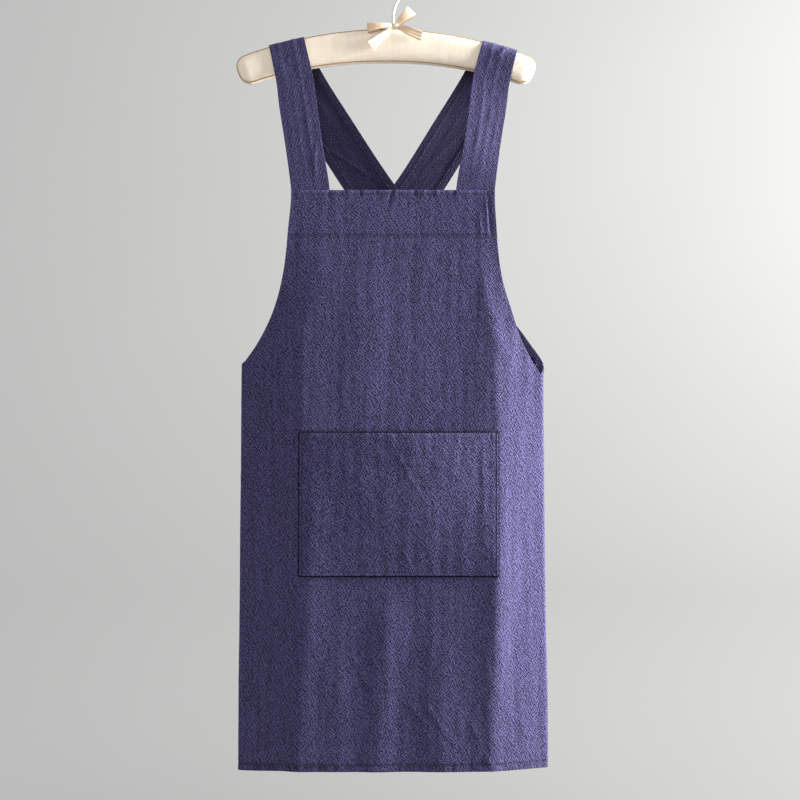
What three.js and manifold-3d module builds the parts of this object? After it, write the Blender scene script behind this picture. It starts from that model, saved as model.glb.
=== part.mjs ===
// A cross-back kitchen apron that hangs on a padded, cloth-covered hanger.
// Millimetres, +Z up, +X to the right of someone who looks at the front, -Y towards them.
// The origin is the inside top of the hook's curl, where a rail carries the hanger.

import * as THREE from "three";
import { mergeVertices } from "three/addons/utils/BufferGeometryUtils.js";
import Module from "manifold-3d";

const { clamp, degToRad, lerp, smoothstep } = THREE.MathUtils;

// Cloth
const CLOTH = 1.2; // one layer of cloth
const HEMMED = 1.8; // cloth where its edge is turned in and sewn
const HEM_WIDTH = 10;
const GAP = 0.3; // between pieces that touch
const LAYER = HEMMED / 2 + GAP + CLOTH / 2; // middle of a hem to the middle of the cloth on it

// Hook
const WIRE = 3.5; // diameter
const WIRE_SIDES = 8;
const CURL_RADIUS = 21; // to the middle of the wire
const CURL_END = degToRad(205); // where the wire stops, counted round from +X
const NECK_TURN = degToRad(48); // how far the wire leans over before the curl
const NECK_RADIUS = (CURL_RADIUS * Math.cos(NECK_TURN)) / (1 - Math.cos(NECK_TURN)); // centres the curl
const STEM_RISE = 15; // straight wire above the bar
const STEM_SOCKET = 24; // straight wire inside the bar
const HOOK_STEPS = 44;
const BORE_SIDES = 12;

// Padded bar
const BAR_TOP = WIRE / 2 - CURL_RADIUS - (CURL_RADIUS + NECK_RADIUS) * Math.sin(NECK_TURN) - STEM_RISE;
const BAR_SPAN = 383; // from tip to tip
const BAR_HEIGHT = 43; // in the middle
const BAR_END_HEIGHT = 37;
const BAR_DEPTH = 26;
const BAR_ARCH = 525; // radius of the bar's middle line
const BAR_SHIFT = -7; // the bar's middle from the hook's stem
const BAR_MESH = { capRings: 6, sides: 16, lengthSteps: 24 };

// Apron, with each drop counted down from the bib's top edge
const BIB_BELOW = 207.5; // from the bar's top down to the bib's
const BIB_TOP = BAR_TOP - BIB_BELOW;
const BIB_HALF = 129.6; // half width at the bib's top
const BIB_CREASE = 0.7; // share of the bib's half width where its sides start to bend back
const BIB_Y = -18; // the middle of the front at the bib's top
const SKIRT_Y = -37; // and below SETTLED
const SETTLED = 430; // the drop where the skirt has reached its full depth
const SKIRT_SETBACK = 30; // how far the side folds lie behind the middle of the front
const CREASE_ROUND = 0.25; // how softly the front bends at its two creases
const LENGTH = 734.5;
const BAND = 58; // depth of the facing behind the bib's top
const FACING = { columns: 14, rows: 3 };
const ARMHOLE_CURVE = 2.8; // power of the armhole's outline
const FOLD = 5; // radius of the side folds
const FLAP = 118; // width of each back flap
const FLAP_SWAY = 7; // how far the flaps' back edges stand out at the hem

// The two sides: where the armhole ends, half widths of the side fold and of the front crease, and how far
// from the middle a strap is sewn to the flap
const LEFT = { sign: -1, armhole: 218, waist: 193, hem: 198, creaseTop: 112, creaseHem: 118, sewn: 136 };
const RIGHT = { sign: 1, armhole: 226, waist: 194, hem: 198, creaseTop: 140, creaseHem: 116, sewn: 152 };

// Soft upright folds of the front, each a crest that leans from x at its top to xHem at the hem
const CRESTS = [
  { x: -117, xHem: -119, from: 330, to: LENGTH, reach: 20, height: 3 },
  { x: 141, xHem: 116, from: 350, to: LENGTH, reach: 18, height: 4 },
  { x: -2, xHem: -22, from: 470, to: LENGTH, reach: 20, height: 4 },
  { x: 52, xHem: 62, from: 520, to: LENGTH, reach: 26, height: 3 },
  { x: -70, xHem: -72, from: 540, to: LENGTH, reach: 22, height: 2.5 },
  { x: 108, xHem: 118, from: 60, to: 320, reach: 14, height: 2 },
  { x: -30, xHem: -44, from: 70, to: 330, reach: 30, height: 2 },
];
const CREST_FADE = 90; // how gently a crest starts

// Columns of the apron's cloth from the middle out to a flap's back edge
const ZONES = [
  { zone: "front", steps: 8 },
  { zone: "side", steps: 5 },
  { zone: "hem", steps: 1 },
  { zone: "fold", steps: 5 },
  { zone: "flap", steps: 3 },
  { zone: "flapHem", steps: 1 },
];

// Pocket
const POCKET = { left: -119.5, right: 133.6, top: 308.5, bottom: 490, columns: 14, rows: 9 };
const POCKET_OFF = LAYER + 3 * GAP; // from the front's middle, clear of the bends at its creases
const POUCH = 10; // how far the pocket gapes in the middle of its mouth

// Straps. out is the distance from the middle to the strap's own side, below is counted from the bar's top,
// tilt turns the strap's width up towards the middle, and depth goes from the bar, 0, to the sewn end, 1.
const STRAP_TOP_OUT = 131.5; // where a strap lies on the bar
const STRAP_TOP_HALF = 22.4;
const STRAP_TUCK = 14; // length of a strap's end behind the bib
const STRAP_STEPS = 48;
const STRAP_SEWN_STEPS = 3; // steps at each end where the hems are pressed flat
const STRAP_ACROSS = [-1, -0.62, 0, 0.62, 1]; // edge, hem line, middle, hem line, edge
const STRAP_FRONT = [
  { out: 105, below: BIB_BELOW + STRAP_TUCK, half: 23.5, tilt: 0, depth: 1 },
  { out: 105, below: BIB_BELOW, half: 24.5, tilt: 2, depth: 1 },
  { out: 114.5, below: 143, half: 23.5, tilt: 8, depth: 0.5 },
  { out: 121, below: 98, half: 23, tilt: 9, depth: 0.15 },
  { out: 125, below: 68, half: 22.6, tilt: 12, depth: 0 },
];
const STRAP_BACK = [
  { out: 122.5, below: 48, half: 25, tilt: 22, depth: 0, cross: 0 },
  { out: 114.5, below: 67, half: 27, tilt: 31, depth: 0, cross: 0 },
  { out: 72.3, below: 138, half: 28.5, tilt: 33, depth: 0.2, cross: 0.4 },
  { out: 26.6, below: 209, half: 28.5, tilt: 34, depth: 0.45, cross: 1 },
  { out: -19, below: 268, half: 28.5, tilt: 37, depth: 0.62, cross: 1 },
  { out: -68.5, below: 325, half: 29, tilt: 38, depth: 0.8, cross: 0.5 },
  { out: -112, below: 374, half: 30, tilt: 35, depth: 0.95, cross: 0 },
];
// The flared end on the other side's flap, with rise counted up from the flap's top edge
const STRAP_END = [
  { inset: 6, rise: 18, half: 35, tilt: 16 },
  { inset: 0, rise: -2, half: 36.5, tilt: 0 },
  { inset: 0, rise: -16, half: 36, tilt: 0 },
];
const CROSS_SHIFT = 1.4; // the crossing lies this far right of the middle
const CROSS_APART = 1.7; // each strap's distance from the middle of the crossing
const STRAP_OFF = BAR_DEPTH / 2 + 2 * GAP + HEMMED / 2; // from the bar's middle to a strap's
const OVER_BAR_STEPS = 6;

// Ribbon bow: stations of each strip, with above counted from the bar's top
const RIBBON = 1;
const RIBBON_STEPS = 12;
const RIBBON_ACROSS = [-1, 0, 1];
const KNOT = { x: 2, y: -7, above: 4.4, width: 10, depth: 9, height: 10, sides: 12, rings: 8 };
const RING = { radius: 3.3, wire: 1.2, sides: 6, steps: 14 }; // the turn of ribbon round the stem
const BOW_STRIPS = [
  [
    { x: 1, y: -8, above: 5, half: 3, tilt: 100 },
    { x: -14, y: -15, above: 2, half: 5.5, tilt: 98 },
    { x: -24, y: -19, above: -1.5, half: 6.7, tilt: 95 },
    { x: -28, y: -16.5, above: -2.5, half: 6.7, tilt: 95 },
    { x: -24, y: -14.2, above: -1.5, half: 6.7, tilt: 95 },
    { x: -14, y: -12.5, above: 2, half: 5, tilt: 98 },
    { x: 1, y: -7, above: 4, half: 3, tilt: 100 },
  ],
  [
    { x: 2, y: -8, above: 5, half: 3, tilt: -45 },
    { x: 11, y: -10.5, above: 12, half: 6, tilt: -45 },
    { x: 20, y: -10, above: 19.5, half: 7.6, tilt: -44 },
    { x: 24.5, y: -7.5, above: 23, half: 7.9, tilt: -43 },
    { x: 20, y: -5, above: 19.5, half: 7.6, tilt: -44 },
    { x: 11, y: -5, above: 12, half: 5.5, tilt: -45 },
    { x: 2, y: -7, above: 4, half: 3, tilt: -45 },
  ],
  [
    { x: 1, y: -9, above: 4, half: 3, tilt: -40 },
    { x: -7, y: -13, above: -4, half: 4.5, tilt: -40 },
    { x: -16, y: -15, above: -12, half: 5.2, tilt: -38 },
    { x: -28, y: -15.5, above: -22, half: 5.6, tilt: -30 },
  ],
  [
    { x: 3, y: -9, above: 4, half: 3, tilt: 65 },
    { x: 12, y: -13, above: -1, half: 4.5, tilt: 68 },
    { x: 23, y: -15, above: -6.5, half: 5.4, tilt: 72 },
    { x: 37, y: -15.5, above: -12.5, half: 5.8, tilt: 80 },
  ],
];

const SAME_PLACE = 1e-4; // nearer than this counts as one place

const wasm = await Module();
wasm.setup();

// Solids

/** A closed three.js geometry as a solid that can be joined and cut. */
function solidOf(geometry) {
  const bare = geometry.clone();
  bare.deleteAttribute("normal");
  bare.deleteAttribute("uv");
  const merged = mergeVertices(bare, SAME_PLACE);
  return new wasm.Manifold(
    new wasm.Mesh({
      numProp: 3,
      vertProperties: new Float32Array(merged.attributes.position.array),
      triVerts: new Uint32Array(merged.index.array),
    }),
  );
}

/** A solid turned back into a three.js geometry. */
function geometryOf(solid) {
  const mesh = solid.getMesh();
  const geometry = new THREE.BufferGeometry();
  geometry.setAttribute("position", new THREE.BufferAttribute(mesh.vertProperties, mesh.numProp));
  geometry.setIndex(new THREE.BufferAttribute(mesh.triVerts, 1));
  geometry.computeVertexNormals();
  return geometry;
}

/**
 * Cloth as a closed wall: a grid of points in the middle of the cloth, given its thickness and a rim.
 * point(i, j) is a place in the grid, wall(i, j) the thickness there, and isThere(i, j) says whether the
 * cell that starts at (i, j) is cloth or has been cut away.
 */
function clothWall(columns, rows, point, wall, isThere = () => true) {
  const hasCell = (i, j) => i >= 0 && j >= 0 && i < columns && j < rows && isThere(i, j);
  const hasPoint = (i, j) => [0, 1].some((a) => [0, 1].some((b) => hasCell(i - a, j - b)));
  const range = (count) => [...Array(count + 1).keys()];
  const middle = range(columns).map((i) => range(rows).map((j) => (hasPoint(i, j) ? point(i, j) : null)));
  const step = (i, j, di, dj) => {
    const ahead = middle[i + di]?.[j + dj] ?? middle[i][j];
    const behind = middle[i - di]?.[j - dj] ?? middle[i][j];
    return ahead.clone().sub(behind);
  };

  const positions = [];
  const first = middle.map((column, i) =>
    column.map((place, j) => {
      if (!place) return null;
      const offset = step(i, j, 1, 0).cross(step(i, j, 0, 1)).setLength(wall(i, j) / 2);
      positions.push(...place.clone().add(offset), ...place.clone().sub(offset));
      return positions.length / 3 - 2;
    }),
  );

  const index = [];
  const quad = (a, b, c, d) => index.push(a, b, c, a, c, d);
  for (let i = 0; i < columns; i++) {
    for (let j = 0; j < rows; j++) {
      if (!hasCell(i, j)) continue;
      const ring = [first[i][j], first[i + 1][j], first[i + 1][j + 1], first[i][j + 1]];
      const beside = [hasCell(i, j - 1), hasCell(i + 1, j), hasCell(i, j + 1), hasCell(i - 1, j)];
      quad(...ring);
      quad(...ring.map((corner) => corner + 1).reverse());
      ring.forEach((start, side) => {
        const end = ring[(side + 1) % ring.length];
        if (!beside[side]) quad(end, start, start + 1, end + 1);
      });
    }
  }
  const geometry = new THREE.BufferGeometry();
  geometry.setAttribute("position", new THREE.Float32BufferAttribute(positions, 3));
  geometry.setIndex(index);
  geometry.computeVertexNormals();
  return geometry;
}

/** A strip of cloth through stations { place, half, tilt, turn }. turn is -1 for a mirrored strip, or 1. */
function clothStrip(stations, steps, across, wall) {
  const line = new THREE.CatmullRomCurve3(stations.map((station) => station.place));
  const spread = new THREE.CatmullRomCurve3(
    stations.map(({ half, tilt }) => new THREE.Vector3(half, tilt, 0)),
  );
  const { turn } = stations[0];
  const point = (i, j) => {
    const { x: half, y: tilt } = spread.getPoint(j / steps);
    const angle = degToRad(tilt);
    const width = new THREE.Vector3(turn * Math.cos(angle), 0, Math.sin(angle));
    return line.getPoint(j / steps).addScaledVector(width, across[i] * half);
  };
  return clothWall(across.length - 1, steps, point, wall);
}

// Apron body

/** How the cloth lies on one side at a drop: its widths, its depth and the turn into the side fold. */
function section(side, drop) {
  const down = clamp((drop - side.armhole) / (LENGTH - side.armhole), 0, 1);
  const half = lerp(side.waist, side.hem, down);
  const skirtCrease = lerp(side.creaseTop, side.creaseHem, down);
  const settled = smoothstep(drop, 0, SETTLED);
  const setback = SKIRT_SETBACK * settled;
  const turn = Math.atan(setback / (half - skirtCrease));
  const foldStart = half - FOLD * (1 - Math.sin(turn));
  const armhole = Math.min(drop / side.armhole, 1) ** ARMHOLE_CURVE;
  const edge = lerp(BIB_HALF, foldStart, armhole);
  const crease = Math.min(skirtCrease, BIB_CREASE * edge);
  return { half, turn, edge, crease, setback, middleY: lerp(BIB_Y, SKIRT_Y, settled) };
}

/** How far the soft folds push the front towards the viewer. */
function crestLift(x, drop) {
  let lift = 0;
  for (const crest of CRESTS) {
    const along = clamp((drop - crest.from) / (crest.to - crest.from), 0, 1);
    const aside = (x - lerp(crest.x, crest.xHem, along)) / crest.reach;
    const starts = smoothstep(drop, crest.from, crest.from + CREST_FADE);
    const ends = crest.to < LENGTH ? 1 - smoothstep(drop, crest.to - CREST_FADE, crest.to) : 1;
    lift += crest.height * Math.exp(-aside * aside) * starts * ends;
  }
  return lift;
}

/** Depth of the middle of the front's cloth. */
function frontY(x, drop) {
  const { crease, edge, setback, middleY } = section(x < 0 ? LEFT : RIGHT, drop);
  const past = (Math.abs(x) - crease) / (edge - crease);
  const bend = (past + Math.hypot(past, CREASE_ROUND)) / 2;
  return middleY + setback * bend - crestLift(x, drop);
}

/** Depth of the middle of a side fold. */
function foldY(side, drop) {
  const { edge, turn } = section(side, drop);
  return frontY(side.sign * edge, drop) + FOLD * Math.cos(turn);
}

/** Depth of a flap's cloth at a distance from the side fold. */
function flapY(side, distance, drop) {
  const sway = FLAP_SWAY * (distance / FLAP) ** 2 * smoothstep(drop, SETTLED / 2, LENGTH);
  return foldY(side, drop) + FOLD + sway;
}

const STOPS = [
  { zone: "front", share: 0 },
  ...ZONES.flatMap(({ zone, steps }) =>
    Array.from({ length: steps }, (_, n) => ({ zone, share: (n + 1) / steps })),
  ),
];
const FRONT_EDGE = STOPS.findLastIndex(({ zone }) => zone === "hem");

/** A point of the apron's cloth: stop counts columns from the middle, to the left where it is negative. */
function bodyPoint(stop, drop) {
  const side = stop < 0 ? LEFT : RIGHT;
  const { zone, share } = STOPS[Math.abs(stop)];
  const { half, turn, edge, crease } = section(side, drop);
  const at = (x, y) => new THREE.Vector3(side.sign * x, y, BIB_TOP - drop);
  const onFront = (x) => at(x, frontY(side.sign * x, drop));
  const onFlap = (distance) => at(half - FOLD - distance, flapY(side, distance, drop));
  switch (zone) {
    case "front":
      return onFront(share * crease);
    case "side":
      return onFront(lerp(crease, edge - HEM_WIDTH, share));
    case "hem":
      return onFront(edge - HEM_WIDTH * (1 - share));
    case "fold": {
      const angle = lerp(turn - Math.PI / 2, Math.PI / 2, share);
      return at(half - FOLD * (1 - Math.cos(angle)), foldY(side, drop) + FOLD * Math.sin(angle));
    }
    case "flap":
      return onFlap(share * (FLAP - HEM_WIDTH));
    default:
      return onFlap(FLAP - HEM_WIDTH * (1 - share));
  }
}

/** The drops of the cloth's rows, with one at each hem line and at each armhole's end. */
function bodyDrops() {
  const marks = [
    { drop: BAND, steps: 3 },
    { drop: LEFT.armhole, steps: 9 },
    { drop: RIGHT.armhole, steps: 1 },
    { drop: RIGHT.armhole + HEM_WIDTH, steps: 1 },
    { drop: LENGTH - HEM_WIDTH, steps: 19 },
    { drop: LENGTH, steps: 1 },
  ];
  const drops = [0];
  for (const { drop, steps } of marks) {
    const start = drops.at(-1);
    for (let n = 1; n <= steps; n++) drops.push(lerp(start, drop, n / steps));
  }
  return drops;
}

function apronBody() {
  const drops = bodyDrops();
  const reach = STOPS.length - 1;
  const point = (i, j) => bodyPoint(i - reach, drops[j]);
  const isThere = (i, j) => {
    const outer = Math.max(Math.abs(i - reach), Math.abs(i + 1 - reach));
    const { armhole } = i < reach ? LEFT : RIGHT;
    return outer <= FRONT_EDGE || drops[j] >= armhole;
  };
  const wall = (i, j) => {
    const stop = Math.abs(i - reach);
    const { armhole } = i < reach ? LEFT : RIGHT;
    const isArmholeHem = stop >= FRONT_EDGE - 1 && drops[j] < armhole + HEM_WIDTH;
    const isFlapHem = stop >= reach - 1;
    const isBottomHem = drops[j] >= LENGTH - HEM_WIDTH;
    return isArmholeHem || isFlapHem || isBottomHem ? HEMMED : CLOTH;
  };
  return clothWall(2 * reach, drops.length - 1, point, wall, isThere);
}

function bibFacing() {
  const { columns, rows } = FACING;
  const half = BIB_HALF - CLOTH;
  const point = (i, j) => {
    const x = lerp(-half, half, i / columns);
    const drop = lerp(CLOTH, BAND, j / rows);
    return new THREE.Vector3(x, frontY(x, drop) + LAYER + CLOTH + GAP, BIB_TOP - drop);
  };
  return clothWall(columns, rows, point, () => CLOTH);
}

function frontPocket() {
  const { left, right, top, bottom, columns, rows } = POCKET;
  const underHem = (n) => lerp(top + HEM_WIDTH, bottom, n / (rows - 1));
  const drops = [top, ...Array.from({ length: rows }, (_, n) => underHem(n))];
  const point = (i, j) => {
    const across = i / columns;
    const down = (drops[j] - top) / (bottom - top);
    const gape = POUCH * Math.sin(Math.PI * across) * (1 - down * down);
    const x = lerp(left, right, across);
    return new THREE.Vector3(x, frontY(x, drops[j]) - POCKET_OFF - gape, BIB_TOP - drops[j]);
  };
  return clothWall(columns, rows, point, (i, j) => (j < 2 ? HEMMED : CLOTH));
}

// Hanger

/** The bar's middle at a distance along it from its own middle, with its outward direction and height. */
function barAt(along) {
  const angle = along / BAR_ARCH;
  const outward = new THREE.Vector3(Math.sin(angle), 0, Math.cos(angle));
  const centre = new THREE.Vector3(BAR_SHIFT, 0, BAR_TOP - BAR_HEIGHT / 2 - BAR_ARCH);
  const share = Math.abs(along) / barReach();
  return {
    angle,
    outward,
    middle: centre.addScaledVector(outward, BAR_ARCH),
    height: lerp(BAR_HEIGHT, BAR_END_HEIGHT, share),
  };
}

/** Half the bar's length along its arch. */
function barReach() {
  return BAR_ARCH * Math.asin(BAR_SPAN / 2 / BAR_ARCH);
}

/** A capsule whose round section is drawn out to the bar's flat sides, bent along the arch and drilled. */
function hangerBar() {
  const radius = BAR_END_HEIGHT / 2;
  const straight = 2 * (barReach() - radius);
  const { capRings, sides, lengthSteps } = BAR_MESH;
  const bar = new THREE.CapsuleGeometry(radius, straight, capRings, sides, lengthSteps);
  const places = bar.getAttribute("position");
  const place = new THREE.Vector3();
  for (let n = 0; n < places.count; n++) {
    place.fromBufferAttribute(places, n);
    const { outward, middle, height } = barAt(place.y);
    const full = Math.hypot(place.x, place.z) / radius;
    const up = place.x / radius;
    const flat = Math.abs(up) < SAME_PLACE ? 0 : Math.sign(up) * full * (height / 2 - BAR_DEPTH / 2);
    middle.addScaledVector(outward, (up * BAR_DEPTH) / 2 + flat);
    middle.y = ((place.z / radius) * BAR_DEPTH) / 2;
    places.setXYZ(n, ...middle);
  }
  const bore = new THREE.CylinderGeometry(WIRE / 2 + GAP, WIRE / 2 + GAP, 2 * STEM_SOCKET, BORE_SIDES);
  bore.rotateX(Math.PI / 2);
  bore.translate(0, 0, BAR_TOP - GAP);
  return geometryOf(solidOf(bar).subtract(solidOf(bore)));
}

/** The middle line of the hook's wire: a stem, a lean to the right and the curl. */
class HookLine extends THREE.Curve {
  getPoint(share) {
    const stem = STEM_SOCKET + STEM_RISE;
    const neck = NECK_RADIUS * NECK_TURN;
    const curl = CURL_RADIUS * (CURL_END + NECK_TURN);
    const run = share * (stem + neck + curl);
    if (run <= stem) return new THREE.Vector3(0, 0, BAR_TOP - STEM_SOCKET + run);
    if (run <= stem + neck) {
      const lean = (run - stem) / NECK_RADIUS;
      const rise = BAR_TOP + STEM_RISE + NECK_RADIUS * Math.sin(lean);
      return new THREE.Vector3(NECK_RADIUS * (1 - Math.cos(lean)), 0, rise);
    }
    const angle = (run - stem - neck) / CURL_RADIUS - NECK_TURN;
    const centre = WIRE / 2 - CURL_RADIUS;
    return new THREE.Vector3(CURL_RADIUS * Math.cos(angle), 0, centre + CURL_RADIUS * Math.sin(angle));
  }
}

function hangerHook() {
  const round = new THREE.Shape().absarc(0, 0, WIRE / 2, 0, 2 * Math.PI);
  return new THREE.ExtrudeGeometry(round, {
    steps: HOOK_STEPS,
    curveSegments: WIRE_SIDES / 2,
    extrudePath: new HookLine(),
  });
}

/** Loops and tails of ribbon, joined to the knot and to the turn of ribbon round the stem. */
function ribbonBow() {
  const knot = new THREE.SphereGeometry(0.5, KNOT.sides, KNOT.rings);
  knot.scale(KNOT.width, KNOT.depth, KNOT.height);
  knot.translate(KNOT.x, KNOT.y, BAR_TOP + KNOT.above);
  const ring = new THREE.TorusGeometry(RING.radius, RING.wire, RING.sides, RING.steps);
  ring.translate(0, 0, BAR_TOP + KNOT.above);
  const strips = BOW_STRIPS.map((strip) => {
    const stations = strip.map(({ x, y, above, half, tilt }) => ({
      place: new THREE.Vector3(x, y, BAR_TOP + above),
      half,
      tilt,
      turn: 1,
    }));
    return clothStrip(stations, RIBBON_STEPS, RIBBON_ACROSS, () => RIBBON);
  });
  const parts = [knot, ring, ...strips].map(solidOf);
  return geometryOf(parts.reduce((whole, part) => whole.add(part)));
}

// Straps

/** Stations of a strap that starts on one side: up, over the bar and down to the other side's flap. */
function strapStations(side) {
  const other = side === LEFT ? RIGHT : LEFT;
  const turn = -side.sign;
  const layer = side === LEFT ? -CROSS_APART : CROSS_APART;
  const station = (x, y, z, half, tilt) => ({ place: new THREE.Vector3(x, y, z), half, tilt, turn });

  const tuckY = BIB_Y + LAYER;
  const front = STRAP_FRONT.map(({ out, below, half, tilt, depth }) =>
    station(side.sign * out, lerp(-STRAP_OFF, tuckY, depth), BAR_TOP - below, half, tilt),
  );

  const along = BAR_ARCH * Math.asin((side.sign * STRAP_TOP_OUT - BAR_SHIFT) / BAR_ARCH);
  const { angle, outward, middle, height } = barAt(along);
  const round = middle.addScaledVector(outward, height / 2 - BAR_DEPTH / 2);
  const over = Array.from({ length: OVER_BAR_STEPS + 1 }, (_, n) => {
    const swing = Math.PI * (n / OVER_BAR_STEPS - 0.5);
    const place = round.clone().addScaledVector(outward, STRAP_OFF * Math.cos(swing));
    const tilt = THREE.MathUtils.radToDeg(Math.abs(angle));
    return station(place.x, STRAP_OFF * Math.sin(swing), place.z, STRAP_TOP_HALF, tilt);
  });

  const endY = (drop) => flapY(other, 0, drop) + LAYER;
  const back = STRAP_BACK.map(({ out, below, half, tilt, depth, cross }) =>
    station(
      side.sign * out + CROSS_SHIFT * cross,
      lerp(STRAP_OFF, endY(other.armhole), depth) + layer * cross,
      BAR_TOP - below,
      half,
      tilt,
    ),
  );
  const end = STRAP_END.map(({ inset, rise, half, tilt }) => {
    const drop = other.armhole - rise;
    return station(other.sign * (other.sewn - inset), endY(drop), BIB_TOP - drop, half, tilt);
  });
  return [...front, ...over, ...back, ...end];
}

function strap(side) {
  const last = STRAP_ACROSS.length - 1;
  const wall = (i, j) => {
    const isSewnEnd = j <= STRAP_SEWN_STEPS || j >= STRAP_STEPS - STRAP_SEWN_STEPS;
    return isSewnEnd || i === last / 2 ? CLOTH : HEMMED;
  };
  return clothStrip(strapStations(side), STRAP_STEPS, STRAP_ACROSS, wall);
}

// Assembly

function piece(name, geometry, look) {
  const mesh = new THREE.Mesh(geometry, new THREE.MeshStandardMaterial(look));
  mesh.name = name;
  return mesh;
}

const indigoCloth = { color: 0x4c486c, roughness: 0.9, metalness: 0 };
const creamCloth = { color: 0xeedfcd, roughness: 0.85, metalness: 0 };
const creamRibbon = { color: 0xf1e6d6, roughness: 0.55, metalness: 0 };
const paintedWire = { color: 0xe9e4da, roughness: 0.4, metalness: 0.1 };

const apron = new THREE.Group();
apron.add(
  piece("apron_body", apronBody(), indigoCloth),
  piece("bib_facing", bibFacing(), indigoCloth),
  piece("front_pocket", frontPocket(), indigoCloth),
  piece("strap_left", strap(LEFT), indigoCloth),
  piece("strap_right", strap(RIGHT), indigoCloth),
);

const hanger = new THREE.Group();
hanger.add(
  piece("hanger_bar", hangerBar(), creamCloth),
  piece("hanger_hook", hangerHook(), paintedWire),
  piece("ribbon_bow", ribbonBow(), creamRibbon),
);

const hungApron = new THREE.Group();
hungApron.add(apron, hanger);

export default hungApron;
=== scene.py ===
"""Looks of a cross-back kitchen apron of crinkled indigo cotton that hangs on a padded hanger.

Metres, +Z up, +X to the right of someone who looks at the front, -Y towards them. The origin is the inside
top of the hook's curl. Drops are counted down from the bib's top edge.
"""

import logging
import math
from bisect import bisect_right
from collections.abc import Callable, Sequence
from dataclasses import dataclass, field
from enum import Enum, auto

import bmesh
import bpy
from mathutils import Matrix, Vector, noise
from mathutils.bvhtree import BVHTree


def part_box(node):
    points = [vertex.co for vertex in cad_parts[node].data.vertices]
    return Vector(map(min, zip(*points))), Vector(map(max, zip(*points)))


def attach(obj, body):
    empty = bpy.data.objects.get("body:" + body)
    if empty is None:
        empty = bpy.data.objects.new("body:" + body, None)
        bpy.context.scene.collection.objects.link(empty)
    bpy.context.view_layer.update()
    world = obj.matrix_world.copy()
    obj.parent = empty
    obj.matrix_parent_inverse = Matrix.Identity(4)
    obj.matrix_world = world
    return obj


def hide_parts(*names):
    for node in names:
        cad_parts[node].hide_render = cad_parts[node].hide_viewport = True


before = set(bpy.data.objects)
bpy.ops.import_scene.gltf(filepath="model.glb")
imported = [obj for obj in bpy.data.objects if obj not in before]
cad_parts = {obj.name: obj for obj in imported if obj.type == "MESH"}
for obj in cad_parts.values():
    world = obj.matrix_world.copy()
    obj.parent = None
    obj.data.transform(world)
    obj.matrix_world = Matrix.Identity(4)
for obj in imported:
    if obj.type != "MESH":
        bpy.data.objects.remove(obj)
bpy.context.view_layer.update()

LOG = logging.getLogger("hung_apron")

BODY = "root"
BAR_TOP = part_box("hanger_bar")[1].z
BIB_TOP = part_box("apron_body")[1].z
LENGTH = BIB_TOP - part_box("apron_body")[0].z

CLOTH = 0.0009  # one layer of cloth
HEMMED = 0.0018  # cloth with its edge turned in
HALF_WALL = 0.0006  # from the middle of a wall to its outer side
HEM_WIDTH = 0.010
STITCH_IN = 0.0085  # a hem's stitches from its edge
SUNK = 0.0003  # how deep a row of stitches lies in the cloth
# Distances from a hemmed edge that get a row of points, closer at the stitches and at the turned edge
HEM_ROWS = (0.0130, 0.0112, 0.0102, 0.0098, 0.0092, 0.0085, 0.0078, 0.0055, 0.0028, 0.0009, 0.0)

FORWARD = Vector((0.0, -1.0, 0.0))
BACKWARD = Vector((0.0, 1.0, 0.0))

Feed = bpy.types.NodeSocket | float | Sequence[float]
Feeds = dict[str | int, Feed]
Profile = list[bmesh.types.BMVert | bmesh.types.BMEdge]
Colour = tuple[float, float, float, float]


# Small maths


def lerp(start: float, end: float, share: float) -> float:
    """The value that lies a share of the way from start to end."""
    return start + (end - start) * share


def clamp(value: float) -> float:
    """The value, kept from 0 to 1."""
    return min(max(value, 0.0), 1.0)


def smoothstep(value: float, low: float, high: float) -> float:
    """0 below low and 1 above high, with an easy curve between them."""
    share = clamp((value - low) / (high - low))
    return share * share * (3 - 2 * share)


def bell(distance: float, reach: float) -> float:
    """1 at no distance, falling away smoothly past reach."""
    return math.exp(-((distance / reach) ** 2))


def ripple(u: float, v: float, layer: float) -> float:
    """Smooth noise from about -1 to 1, the same in each run, at a place counted in ripples."""
    return noise.noise(Vector((u, v, layer)))


def ruler(start: float, marks: Sequence[tuple[float, int]]) -> list[float]:
    """Sets out places along a line.

    Args:
        start: The first place.
        marks: Each next mark, with the number of even steps that lead to it.

    Returns:
        Every place from start to the last mark.
    """
    places = [start]
    for mark, steps in marks:
        last = places[-1]
        places += [lerp(last, mark, step / steps) for step in range(1, steps + 1)]
    return places


def bend_through(points: Sequence[Vector], share: float) -> Vector:
    """Follows the centripetal curve through some points.

    Args:
        points: The places that the curve passes through.
        share: How far along, with each stretch between two points counted alike.

    Returns:
        The place on the curve.
    """

    def root(step: Vector) -> float:
        """Root of a step's length, kept above 0."""
        return max(step.length**0.5, 1e-4)

    last = len(points) - 1
    start = min(int(share * last), last - 1)
    along = share * last - start
    here, ahead = points[start], points[start + 1]
    behind = points[start - 1] if start > 0 else 2 * here - ahead
    beyond = points[start + 2] if start + 2 <= last else 2 * ahead - here
    before, middle, after = root(here - behind), root(ahead - here), root(beyond - ahead)
    leave = (here - behind) / before - (ahead - behind) / (before + middle) + (ahead - here) / middle
    arrive = (ahead - here) / middle - (beyond - here) / (middle + after) + (beyond - ahead) / after
    leave, arrive = leave * middle, arrive * middle
    square, cube = along**2, along**3
    return (
        here * (2 * cube - 3 * square + 1)
        + leave * (cube - 2 * square + along)
        + ahead * (3 * square - 2 * cube)
        + arrive * (cube - square)
    )


# Shader effects


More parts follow.
